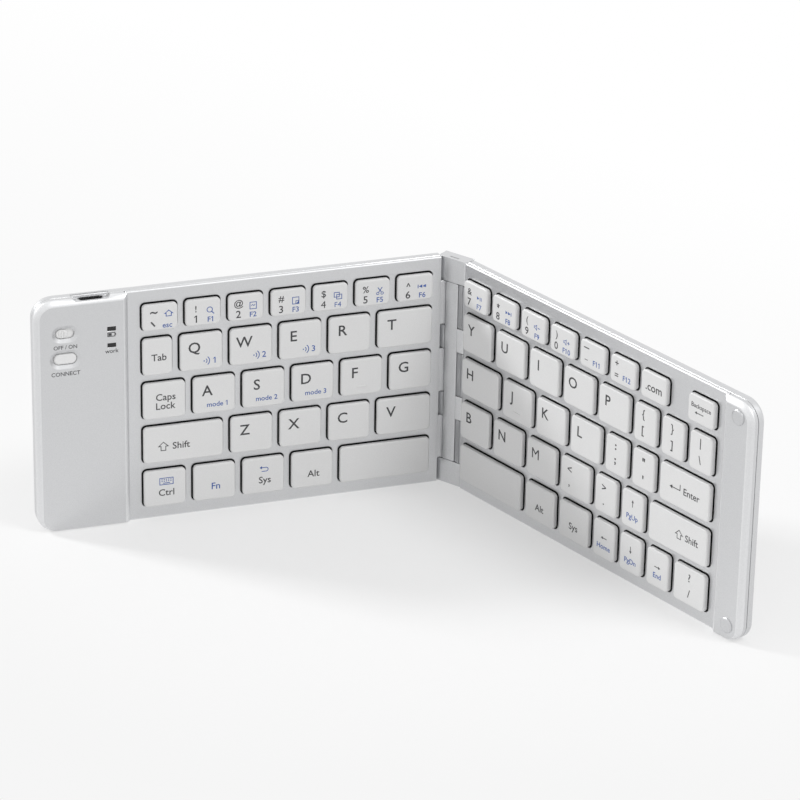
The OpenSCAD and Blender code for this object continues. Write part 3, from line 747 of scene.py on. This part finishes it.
def spine_front_cover():
    b = COVER_SEAT
    solid = Solid()
    solid.block(lambda inset: drawn_in(b, inset, 0.3, 3), b.y0, b.y1, SMALL_ROUND, SMALL_ROUND, 3)
    solid.finish("spine_front", SPINE_MATRIX, "spine", [SILVER], "silver", ["spine_cover"])


# ---- Controls, port, feet and screws ----

def control_holes(half):
    """The slider's slot and the button's hole, each with its countersink."""
    x, button_z = middle(half.box("connect_button"))
    slider_z = middle(half.box("power_slider"))[1]
    holes = [(lambda g, z=z, size=size: oval(x, z, *size, g), SINK)
             for z, size in ((slider_z, SLIDER_SLOT), (button_z, BUTTON_HOLE))]
    for w in half.islands("indicator_windows"):
        holes.append((lambda g, w=w: drawn_in(w, -g - 0.05, 0.1, 2), 0.08))
    return holes


def raised_oval(solid, x, z, length, height, front, rear, fillet):
    """Oval block with a rounded front."""
    solid.block(lambda i: oval(x, z, length, height, -i), front, rear, fillet, fillet * 0.8)


def power_slider(half):
    """Flange behind the slot, with a ribbed knob at its outer end."""
    b = half.box("power_slider")
    x, z = middle(b)
    length = SLIDER_SLOT[0] - SLIDER_TRAVEL - 2 * CONTROL_GAP
    height = SLIDER_SLOT[1] - 2 * CONTROL_GAP
    solid = Solid()
    raised_oval(solid, x, z, length, height, b.y0 + 0.25, b.y1 - 0.1, 0.5)
    for i in (-1, 0, 1):
        raised_oval(solid, x + i * 0.9, z, 0.4, height - 0.9, b.y0, b.y0 + 0.6, 0.15)
    raised_oval(solid, x, z, b.x1 - b.x0, b.z1 - b.z0, b.y1 - FLANGE, b.y1, 0.1)
    solid.finish("slider_knob", half.matrix, "power_slider", [CONTROL], "control",
                 ["power_slider"])


def pairing_button(half):
    b = half.box("connect_button")
    x, z = middle(b)
    length, height = (side - 2 * CONTROL_GAP for side in BUTTON_HOLE)
    solid = Solid()
    raised_oval(solid, x, z, length, height, b.y0, b.y1 - 0.1, 0.7)
    raised_oval(solid, x, z, b.x1 - b.x0, b.z1 - b.z0, b.y1 - FLANGE, b.y1, 0.1)
    solid.finish("button_cap", half.matrix, "connect_button", [CONTROL], "control",
                 ["connect_button"])


def port_cutters(half):
    """The notch with its sloping ends, and the hole of the port's shell."""
    port, cover = half.box("charging_port"), half.own("end_cover")
    x, y = middle(port)[0], (port.y0 + port.y1) / 2
    low, top = port.z1, cover.z1 + 0.5
    ends = ((-NOTCH_FLOOR, low), (NOTCH_FLOOR, low), (NOTCH_MOUTH, top), (-NOTCH_MOUTH, top))
    notch, hole = Solid(), Solid()
    notch.closed([notch.ring([(x + dx, z) for dx, z in ends], level)
                  for level in (cover.y0 - 1, port.y1 + 0.5)])
    hole.closed([hole.flat_ring(oval(x, y, port.x1 - port.x0, port.y1 - port.y0, 0.12), z)
                 for z in (port.z1 - 3.5, port.z1 + 0.4)])
    return [notch.plain("port_notch", half.matrix), hole.plain("port_hole", half.matrix)]


def charging_port(half):
    """Rolled metal shell round a black tongue with its contacts."""
    b = half.box("charging_port")
    x, y = middle(b)[0], (b.y0 + b.y1) / 2
    lip_z = b.z1 - PORT_LIP
    solid = Solid()
    rings = [solid.flat_ring(oval(x, y, b.x1 - b.x0, b.y1 - b.y0, -inset), z) for inset, z in (
        (0, b.z0), (0, lip_z), (0.06, b.z1), (0.24, b.z1), (PORT_WALL, lip_z),
        (PORT_WALL, b.z0 + 1.2))]
    solid.skin(rings)
    solid.fill([rings[0]])
    solid.fill([rings[-1]], 1)
    w, t = TONGUE
    tongue = [solid.flat_ring(even(x - w + i, x + w - i, y - t + i, y + t - i, 0.1, 2), z)
              for i, z in ((0, b.z0 + 1.1), (0, b.z1 - 1.1), (0.1, b.z1 - 0.9))]
    solid.skin(tongue, 1)
    solid.fill([tongue[-1]], 1)
    for i in range(6):
        cx = x - 2.5 + i
        for side in (-1, 1):
            near = y + side * (t + 0.01)
            pad = rectangle(cx - 0.2, cx + 0.2, near, near + side * 0.04)
            solid.closed([solid.flat_ring(pad, z) for z in (b.z0 + 1.4, b.z1 - 1.3)])
    solid.finish("port_socket", half.matrix, half.body, [STEEL, BLACK], "steel",
                 ["charging_port"])


def pads(half, node, name, material, slot, outward, fillet):
    """Feet and bumpers: flat pads with round ends and a rounded edge."""
    solid = Solid()
    for b in half.islands(node):
        near, far = (b.y0, b.y1) if outward < 0 else (b.y1, b.y0)
        r = min(b.x1 - b.x0, b.z1 - b.z0) / 2 - HAIR
        solid.block(lambda i, b=b, r=r: drawn_in(b, i, r - i), near, far, fillet,
                    min(fillet, b.y1 - b.y0) * 0.8)
    solid.finish(name, half.matrix, half.body, [material], slot, [node])


def cross(x, z, reach, arm):
    """Outline of a cross recess."""
    quarter = [(reach, -arm), (reach, arm), (arm, arm)]
    points = []
    for turn in range(4):
        for px, pz in quarter:
            for _ in range(turn):
                px, pz = -pz, px
            points.append((x + px, z + pz))
    return points


def screws(half):
    solid = Solid()
    for b in half.islands(half.name + "_screws"):
        (x, z), width = middle(b), b.x1 - b.x0
        head = [solid.ring(oval(x, z, width, width, -i), b.y1 - d) for i, d in SCREW_HEAD]
        shank = [solid.ring(oval(x, z, 1.4, 1.4), y) for y in (b.y1 - SCREW_HEAD_H, b.y0)]
        recess = [solid.ring(cross(x, z, 0.75 * share, 0.17 * share), b.y1 - d)
                  for share, d in ((1, 0), (0.8, 0.35))]
        for rings in (head, shank, recess):
            solid.skin(rings)
        for loops in ([head[0], recess[0]], [recess[1]], [head[-1], shank[0]], [shank[1]]):
            solid.fill(loops)
    solid.finish(half.name + "_screw_heads", half.matrix, half.body, [STEEL], "steel",
                 [half.name + "_screws"])


# ---- Printing ----

def stroke(points, width=0.22, closed=False):
    """A line of even width, as flat four-sided pieces with mitred corners."""
    pts = [Vector(p) for p in points]
    count = len(pts)
    offsets = []
    for i, p in enumerate(pts):
        before = pts[i - 1] if closed or i > 0 else None
        after = pts[(i + 1) % count] if closed or i < count - 1 else None
        normals = [Vector((-(b - a).y, (b - a).x)).normalized()
                   for a, b in ((before, p), (p, after)) if a is not None and b is not None]
        n = sum(normals, Vector((0, 0))).normalized()
        offsets.append(n * width / 2 / max(n.dot(normals[0]), 0.35))
    ends = range(count if closed else count - 1)
    return [[pts[i] + offsets[i], pts[(i + 1) % count] + offsets[(i + 1) % count],
             pts[(i + 1) % count] - offsets[(i + 1) % count], pts[i] - offsets[i]] for i in ends]


def circle(x, z, r, start=0, end=360, steps=14):
    angles = [math.radians(start + (end - start) * i / steps) for i in range(steps + 1)]
    points = [(x + r * math.cos(a), z + r * math.sin(a)) for a in angles]
    return points[:-1] if end - start == 360 else points


def loop(points, width=0.24):
    """A closed line."""
    return stroke(points, width, closed=True)


def line(x0, z0, x1, z1, width=0.24):
    return stroke([(x0, z0), (x1, z1)], width)


def outlined(x0, x1, z0, z1, width=0.22):
    return loop(rectangle(x0, x1, z0, z1), width)


def arrow(dx, dz, length=2.6):
    """Thin arrow with a small filled head."""
    tip = Vector((dx, dz)) * length / 2
    side = Vector((-dz, dx))
    neck = tip - Vector((dx, dz)) * 0.9
    return stroke([-tip, neck], 0.26) + [[tip, neck + side * 0.5, neck - side * 0.5]]


def block_arrow():
    """Outlined upward arrow of the shift keys."""
    return loop([(0, 1.5), (1.5, 0.1), (0.75, 0.1), (0.75, -1.3), (-0.75, -1.3), (-0.75, 0.1),
                 (-1.5, 0.1)])


def enter_arrow():
    head = [(-2.1, -0.3), (-1.1, 0.25), (-1.1, -0.85)]
    return stroke([(1.7, 1.3), (1.7, -0.3), (-1.3, -0.3)], 0.24) + [head]


def back_arrow():
    """Curved arrow that returns to the left."""
    bow = stroke([(-1.3, 0.45), *circle(0.4, -0.2, 0.65, 90, -90, 8), (-1.0, -0.85)], 0.24)
    return bow + [[(-1.7, 0.45), (-0.9, 1.0), (-0.9, -0.1)]]


def triangle(x, side, reach=0.55):
    """Filled triangle that points right for side +1 and left for -1."""
    tail = x - side * reach
    return [[(tail, reach), (tail, -reach), (x + side * reach, 0)]]


def speaker():
    return loop([(-1.3, -0.3), (-1.3, 0.3), (-0.8, 0.3), (-0.2, 0.8), (-0.2, -0.8), (-0.8, -0.3)],
                0.2)


SIGNS = {
    "home": loop([(-1.2, 0), (0, 1), (1.2, 0), (0.8, 0), (0.8, -0.9), (-0.8, -0.9), (-0.8, 0)]),
    "search": loop(circle(-0.2, 0.25, 0.85)) + line(0.4, -0.4, 1.15, -1.2, 0.3),
    "page": outlined(-1, 1, -1.1, 1.1)
            + stroke([(-0.6, -0.1), (-0.2, 0.3), (0.2, -0.1), (0.6, 0.3)], 0.2),
    "fold": outlined(-1, 1, -1.1, 1.1) + [[(0.1, -1.1), (1, -1.1), (1, -0.1)]]
            + stroke([(0.05, -1.1), (0.05, -0.1), (1, -0.1)], 0.2),
    "copy": outlined(-1.2, 0.4, -0.4, 1.1) + outlined(-0.4, 1.2, -1.1, 0.4),
    "cut": line(-0.7, 1.2, 0.5, -0.5) + line(0.7, 1.2, -0.5, -0.5)
           + loop(circle(-0.7, -0.8, 0.4), 0.2) + loop(circle(0.7, -0.8, 0.4), 0.2),
    "previous": line(-1.4, -0.6, -1.4, 0.6, 0.26) + triangle(-0.6, -1) + triangle(0.6, -1),
    "play": triangle(-0.5, 1) + line(0.4, -0.55, 0.4, 0.55) + line(0.95, -0.55, 0.95, 0.55),
    "next": triangle(-0.6, 1) + triangle(0.6, 1) + line(1.4, -0.6, 1.4, 0.6, 0.26),
    "quieter": speaker() + line(0.3, 0, 1.3, 0),
    "louder": speaker() + line(0.3, 0, 1.3, 0) + line(0.8, -0.5, 0.8, 0.5),
    "keyboard": outlined(-2.1, 2.1, -1.1, 1.1, 0.24) + line(-1.1, -0.6, 1.1, -0.6, 0.26)
                + [rectangle(x - 0.17, x + 0.17, z - 0.15, z + 0.15)
                   for x in (-1.4, -0.7, 0, 0.7, 1.4) for z in (0.05, 0.6)],
    "bar": line(-1, 0, 1, 0, 0.3),
    "grave": line(-0.7, 0.75, 0.5, -0.75, 0.5),
    "waves": line(-1.3, -0.2, -1.3, 0.2, 0.35) + stroke(circle(-1.3, 0, 0.9, -50, 50, 6), 0.26)
             + stroke(circle(-1.3, 0, 1.7, -50, 50, 6), 0.26),
    "left": arrow(-1, 0), "right": arrow(1, 0), "up": arrow(0, 1, 2.4), "down": arrow(0, -1, 2.4),
    "long_left": arrow(-1, 0, 3.6), "shift": block_arrow(), "enter": enter_arrow(),
    "back": back_arrow(),
    "battery": outlined(-1.2, 1.0, -0.6, 0.6, 0.25)
               + [rectangle(-1.0, 0, -0.4, 0.4), rectangle(1.05, 1.35, -0.25, 0.25)],
}

# How much each character is thickened, where it isn't 0.01
WEIGHTS = {":": 0.03, ";": 0.03, "'": 0.03, '"': 0.03, "~": 0.02, "*": 0.02, "4": 0, "M": 0}


def letters(text):
    """Flat faces of a word in the built-in font."""
    curve = bpy.data.curves.new("word", "FONT")
    curve.body = text
    curve.offset = min(WEIGHTS.get(c, 0.01) for c in text)
    curve.resolution_u = 3
    obj = linked("word", curve)
    graph = bpy.context.evaluated_depsgraph_get()
    mesh = bpy.data.meshes.new_from_object(obj.evaluated_get(graph))
    faces = [[tuple(mesh.vertices[i].co.xy) for i in f.vertices] for f in mesh.polygons]
    bpy.data.objects.remove(obj)
    bpy.data.meshes.remove(mesh)
    for i, c in enumerate(text):
        if c == "1":
            before = letters(text[:i].strip()) if i else []
            start = max((x for f in before for x, _ in f), default=-1)
            edge = min(x for f in faces for x, _ in f if x > start)
            faces.append([(edge - dx, FONT_CAP - dz) for dx, dz in
                          ((0, 0), (0.14, 0.14), (0.14, 0.23), (0, 0.12))])
    return faces


FONT_CAP = max(z for face in letters("H") for _, z in face)

Mark = namedtuple("Mark", "ink faces dx dz from_left")


def word(text, dx=0.0, dz=-0.2, height=2.5, ink=0, from_left=False):
    """A word centred on its place, with capitals of this height."""
    faces = letters(text)
    xs = [p[0] for f in faces for p in f]
    zs = [p[1] for f in faces for p in f]
    middle_x = (min(xs) + max(xs)) / 2
    middle_z = FONT_CAP / 2 if any(c.isalnum() for c in text) else (min(zs) + max(zs)) / 2
    scale = height / FONT_CAP
    placed = [[((x - middle_x) * scale, (z - middle_z) * scale) for x, z in f] for f in faces]
    return Mark(ink, placed, dx, dz, from_left)


def blue_word(text, dx, dz):
    return word(text, dx, dz, SMALL_H, 1)


def sign(name, dx=0.0, dz=0.0, ink=0, size=1.15):
    return Mark(ink, [[(x * size, z * size) for x, z in f] for f in SIGNS[name]], dx, dz, False)


def letter_key(letter, extra=None, height=2.1, dx=3.4):
    """A letter near the upper left corner, and small blue print below it."""
    marks = [word(letter, 4.6, 1.9, LETTER_H, from_left=True)]
    if extra:
        marks.append(word(extra, dx, -3.6, height, 1))
    return marks


def number_key(upper, lower, picture, small):
    return [word(upper, -3.1, 1.5, 2.4), word(lower, -3.2, -2.3, 2.7), sign(picture, 2.1, 0.5, 1),
            blue_word(small, 2.1, -2.8)]


def pair_key(upper, lower, dx, upper_z=3.3, lower_z=-2.7, height=2.9):
    return [word(upper, dx, upper_z, height), word(lower, dx, lower_z, height)]


def arrow_key(name, dz, small, small_z):
    return [sign(name, 0, dz), blue_word(small, 0, small_z)]


# The printing of each key node's keys, from the reader's left to right
LEGENDS = {
    "key_tab": [[word("Tab")]],
    "key_caps_lock": [[word("Caps", 0, 1.4), word("Lock", 0, -2.0)]],
    "key_left_shift": [[sign("shift", -7.8, -0.8), word("Shift", -1.3, -0.8)]],
    "key_left_ctrl": [[word("Ctrl", 0, -1.7), sign("keyboard", 0, 2.6, 1)]],
    "key_fn": [[word("Fn", 0, -1.6, ink=1)]],
    "key_left_system": [[word("Sys", 0, -1.7), sign("back", 0, 2.6, 1)]],
    "key_left_alt": [[word("Alt", 0, -1.6)]],
    "keys_left_numbers": [
        [word("~", -2.7, 1.9, 3.2), sign("grave", -2.9, -2.4), sign("home", 2.6, 1.2, 1),
         blue_word("esc", 2.1, -3.1)],
        number_key("!", "1", "search", "F1"), number_key("@", "2", "page", "F2"),
        number_key("#", "3", "fold", "F3"), number_key("$", "4", "copy", "F4"),
        number_key("%", "5", "cut", "F5"), number_key("^", "6", "previous", "F6")],
    "keys_qwert": [[*letter_key(letter, number, 2.2, 4.2), sign("waves", 2.0, -3.6, 1)]
                   for letter, number in ("Q1", "W2", "E3")] + [letter_key("R"), letter_key("T")],
    "keys_asdfg": [letter_key("A", "mode 1", 1.8, 0.6), letter_key("S", "mode 2", 1.8, 0.6),
                   letter_key("D", "mode 3", 1.8, 0.6), letter_key("F"), letter_key("G")],
    "keys_zxcv": [letter_key(c) for c in "ZXCV"],
    "keys_right_numbers": [
        number_key("&", "7", "play", "F7"), number_key("*", "8", "next", "F8"),
        number_key("(", "9", "quieter", "F9"), number_key(")", "0", "louder", "F10"),
        [sign("bar", -3.1, 2.4, size=1.3), sign("bar", -3.1, -2.0, size=0.8),
         blue_word("F11", 2.0, -2.1)],
        [word("+", -3.1, 2.4), word("=", -3.1, -2.0), blue_word("F12", 2.0, -2.1)],
        [word(".com", 0, -0.2, 2.9)]],
    "key_backspace": [[word("Backspace", 0, 1.4, 1.6), sign("long_left", -0.9, -1.2)]],
    "keys_yuiop": [*[letter_key(c) for c in "YUIOP"], pair_key("{", "[", -1.0),
                   pair_key("}", "]", -0.4), pair_key("|", "\\", -0.3)],
    "keys_hjkl": [*[letter_key(c) for c in "HJKL"], pair_key(":", ";", -0.4, 3.3, -2.2),
                  pair_key("\"", "'", 0, 3.9, -2.6)],
    "keys_bnm": [*[letter_key(c) for c in "BNM"], pair_key("<", ",", -3.0, 3.0, -3.4),
                 pair_key(">", ".", -1.0, 3.0, -3.4)],
    "key_slash": [pair_key("?", "/", 0, 3.3, -2.6)],
    "key_enter": [[sign("enter", -4.4, 0.1, size=1.35), word("Enter", 3.5, 0)]],
    "key_up_arrow": [arrow_key("up", 2.6, "PgUp", -2.5)],
    "key_down_arrow": [arrow_key("down", 1.8, "PgDn", -2.5)],
    "key_left_arrow": [arrow_key("left", 0.8, "Home", -2.5)],
    "key_right_arrow": [arrow_key("right", 0.8, "End", -2.4)],
    "key_right_shift": [[sign("shift", 0.7, 0.3), word("Shift", 6.9, 0.3)]],
    "key_right_alt": [[word("Alt", 0, -1.4)]],
    "key_right_system": [[word("Sys", 0, -1.4)]],
}


class Print(Solid):
    """Thin closed shapes on a face that looks along -y of the flat drawing."""

    def __init__(self, half):
        super().__init__()
        self.half = half

    def add(self, mark, x, y, z):
        """Stamps a mark. Its dx runs to the reader's right, which is outwards on the right half."""
        at = {}
        uses = {}

        def pair(p):
            key = (round(p[0], 4), round(p[1], 4))
            if key not in at:
                px, pz = x + self.half.side * p[0], z + p[1]
                at[key] = [self.bm.verts.new((px, y + d, pz)) for d in (-PRINT_T, PRINT_T)]
            return key

        for flat in mark.faces:
            keys = [pair(p) for p in flat]
            keys = [k for i, k in enumerate(keys) if k != keys[i - 1]]
            if len(set(keys)) < 3:
                continue
            for level in (0, 1):
                order = keys if level == 0 else keys[::-1]
                face = self.bm.faces.new([at[k][level] for k in order])
                face.material_index = mark.ink
            for i, k in enumerate(keys):
                edge = (k, keys[(i + 1) % len(keys)])
                uses[edge] = mark.ink
        for (a, b), ink in uses.items():
            if (b, a) not in uses:
                face = self.bm.faces.new((at[b][0], at[a][0], at[a][1], at[b][1]))
                face.material_index = ink

    def stamp(self, name, body):
        self.finish(name, self.half.matrix, body, [GREY_INK, BLUE_INK], None)


READER_SHIFT = {LEFT: -0.5, RIGHT: 0}  # to the reader's right, where the printing is off centre
WORD_Z = (70.7, 60.7)  # heights of the words below the slider and the button
UNDER_WINDOW = 1.4  # from a window down to its mark


def key_printing(half, node):
    if node not in LEGENDS:
        return
    printed = Print(half)
    caps = sorted(half.islands(node), key=lambda b: half.side * b.x0)
    for b, marks in zip(caps, LEGENDS[node]):
        x, z = middle(b)
        left = b.x0 if half.side > 0 else b.x1
        for mark in marks:
            start = (left if mark.from_left else x) + READER_SHIFT[half]
            printed.add(mark, start + half.side * mark.dx, b.y0, z + mark.dz)
    printed.stamp(node + "_print", node)


def end_printing(half):
    """Words below the controls and marks under the two windows."""
    face = half.own("end_cover").y0
    x = middle(half.box("connect_button"))[0]
    printed = Print(half)
    for z, mark in zip(WORD_Z, (word("OFF / ON", height=1.4), word("CONNECT", height=1.45))):
        printed.add(mark, x, face, z)
    windows = sorted(half.islands("indicator_windows"), key=lambda b: b.z0)
    for w, mark in zip(windows, (word("work", height=1.5), sign("battery"))):
        printed.add(mark, middle(w)[0], face, w.z0 - UNDER_WINDOW)
    printed.stamp("end_print", half.body)


def homing_bar(half, node, letter_place):
    """Small raised bar that a finger feels on the F and J keys."""
    b = sorted(half.islands(node), key=lambda b: half.side * b.x0)[letter_place]
    solid = Solid()
    raised_oval(solid, middle(b)[0], b.z0 + 3.3, 3.4, 0.5, b.y0 - 0.2, b.y0 + 0.1, 0.15)
    solid.finish(node + "_homing_bar", half.matrix, node, [KEYCAP], "keycap")


# ---- Stage, light and camera ----

WHITE = (1, 1, 1, 1)


def seen_or_mirrored(tree):
    """1 for what the camera sees directly or in a reflection."""
    path = shader_node(tree, "LightPath", {}).outputs
    inputs = {0: path["Is Camera Ray"], 1: path["Is Glossy Ray"]}
    return shader_node(tree, "Math", inputs, operation="MAXIMUM").outputs["Value"]


def stage():
    """White floor. Seen directly it is white, with painted shade that darkens it a little towards
    the front, and the soft shadow near the keyboard.
    """
    mesh = bpy.data.meshes.new("floor")
    bm = bmesh.new()
    bmesh.ops.create_grid(bm, x_segments=1, y_segments=1, size=6)
    bm.to_mesh(mesh)
    bm.free()
    floor = linked("floor", mesh)
    made = Nodes("white_floor").set(Base_Color=(0.9, 0.9, 0.9, 1), Roughness=0.7)
    tree = made.tree
    away = shader_node(tree, "VectorMath", {0: made.place}, operation="LENGTH")
    share = shader_node(tree, "MapRange", {"Value": away.outputs["Value"], "From Min": 0.10,
                                           "From Max": 0.24, "To Min": 0.4},
                        interpolation_type="SMOOTHSTEP")
    seen = shader_node(tree, "Math", {0: share.outputs["Result"], 1: seen_or_mirrored(tree)},
                       operation="MULTIPLY")
    depth = shader_node(tree, "SeparateXYZ", {0: made.place})
    # Painted shade: the floor's white is a little darker towards its front
    painted_front_shade = shader_node(tree, "MapRange", {"Value": depth.outputs["Y"], "From Min": -0.15,
                                          "From Max": 0.3, "To Min": 0.92})
    white = shader_node(tree, "Emission", {"Color": WHITE, "Strength": painted_front_shade.outputs["Result"]})
    mix = shader_node(tree, "MixShader", {"Fac": seen.outputs["Value"],
                                          1: made.shader.outputs["BSDF"],
                                          2: white.outputs["Emission"]})
    tree.links.new(mix.outputs["Shader"], tree.nodes["Material Output"].inputs["Surface"])
    mesh.materials.append(made.material)


def world():
    """Bright tent, white where it is seen directly or in a reflection."""
    bpy.context.scene.world = bpy.data.worlds.new("studio")
    bpy.context.scene.world.use_nodes = True
    tree = bpy.context.scene.world.node_tree
    tent = tree.nodes["Background"]
    tent.inputs["Color"].default_value = WHITE
    tent.inputs["Strength"].default_value = 0.6
    white = shader_node(tree, "Background", {"Color": WHITE})
    mix = shader_node(tree, "MixShader", {"Fac": seen_or_mirrored(tree),
                                          1: tent.outputs["Background"],
                                          2: white.outputs["Background"]})
    tree.links.new(mix.outputs["Shader"], tree.nodes["World Output"].inputs["Surface"])


def soft_light(name, place, side, power):
    """Square lamp that looks at the keyboard."""
    data = bpy.data.lights.new(name, "AREA")
    data.shape = "RECTANGLE"
    data.size = data.size_y = side
    data.energy = power
    lamp = linked(name, data)
    lamp.location = place
    lamp.rotation_mode = "QUATERNION"
    lamp.rotation_quaternion = Vector(place).to_track_quat("Z", "Y")


def camera():
    """The photograph's view: a long lens, a little above the keyboard."""
    azimuth, elevation, roll = (math.radians(a) for a in (36.7, 25.31, 1.08))
    distance = 1.46
    target = Vector((-0.0227, -0.0008, 0.0259))
    forward = Vector((-math.sin(azimuth) * math.cos(elevation),
                      math.cos(azimuth) * math.cos(elevation), -math.sin(elevation)))
    right = Vector((math.cos(azimuth), math.sin(azimuth), 0))
    up = right.cross(forward)
    right = right * math.cos(roll) + up * math.sin(roll)
    up = right.cross(forward)
    data = bpy.data.cameras.new("camera")
    data.sensor_width = 36
    data.lens = 182.0
    cam = linked("camera", data)
    turn = Matrix((right, up, -forward)).transposed().to_4x4()
    cam.matrix_world = Matrix.Translation(target - forward * distance) @ turn
    bpy.context.scene.camera = cam


bpy.context.scene.view_settings.view_transform = "Standard"
camera()
world()
stage()
soft_light("left_light", (-1.5, -0.5, 0.91), 0.3, 17)
soft_light("right_light", (1.1, 0.1, 1.4), 0.5, 9.5)

dress_cad_nodes()
for half in HALVES:
    key_frame(half, KEY_NODES[half])
    for node in KEY_NODES[half]:
        key_caps(half, node)
        key_printing(half, node)
        key_domes(half, node)
    screws(half)
    pads(half, half.name + "_feet", half.name + "_rubber_feet", RUBBER, "foot_rubber", 1, 0.5)

end_cover(RIGHT)
rear_shell(RIGHT)
pads(RIGHT, "right_bumpers", "end_bumpers", BUMPER, "bumper", -1, 0.9)
cut_away(end_cover(LEFT, control_holes(LEFT)), port_cutters(LEFT))
cut_away(rear_shell(LEFT), port_cutters(LEFT))
charging_port(LEFT)
power_slider(LEFT)
pairing_button(LEFT)
end_printing(LEFT)
homing_bar(LEFT, "keys_asdfg", 3)
homing_bar(RIGHT, "keys_hjkl", 1)

SPINE = box_of([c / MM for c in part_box("hinge_spine")])
spine(SPINE)
spine_rear_cover(SPINE)
spine_front_cover()
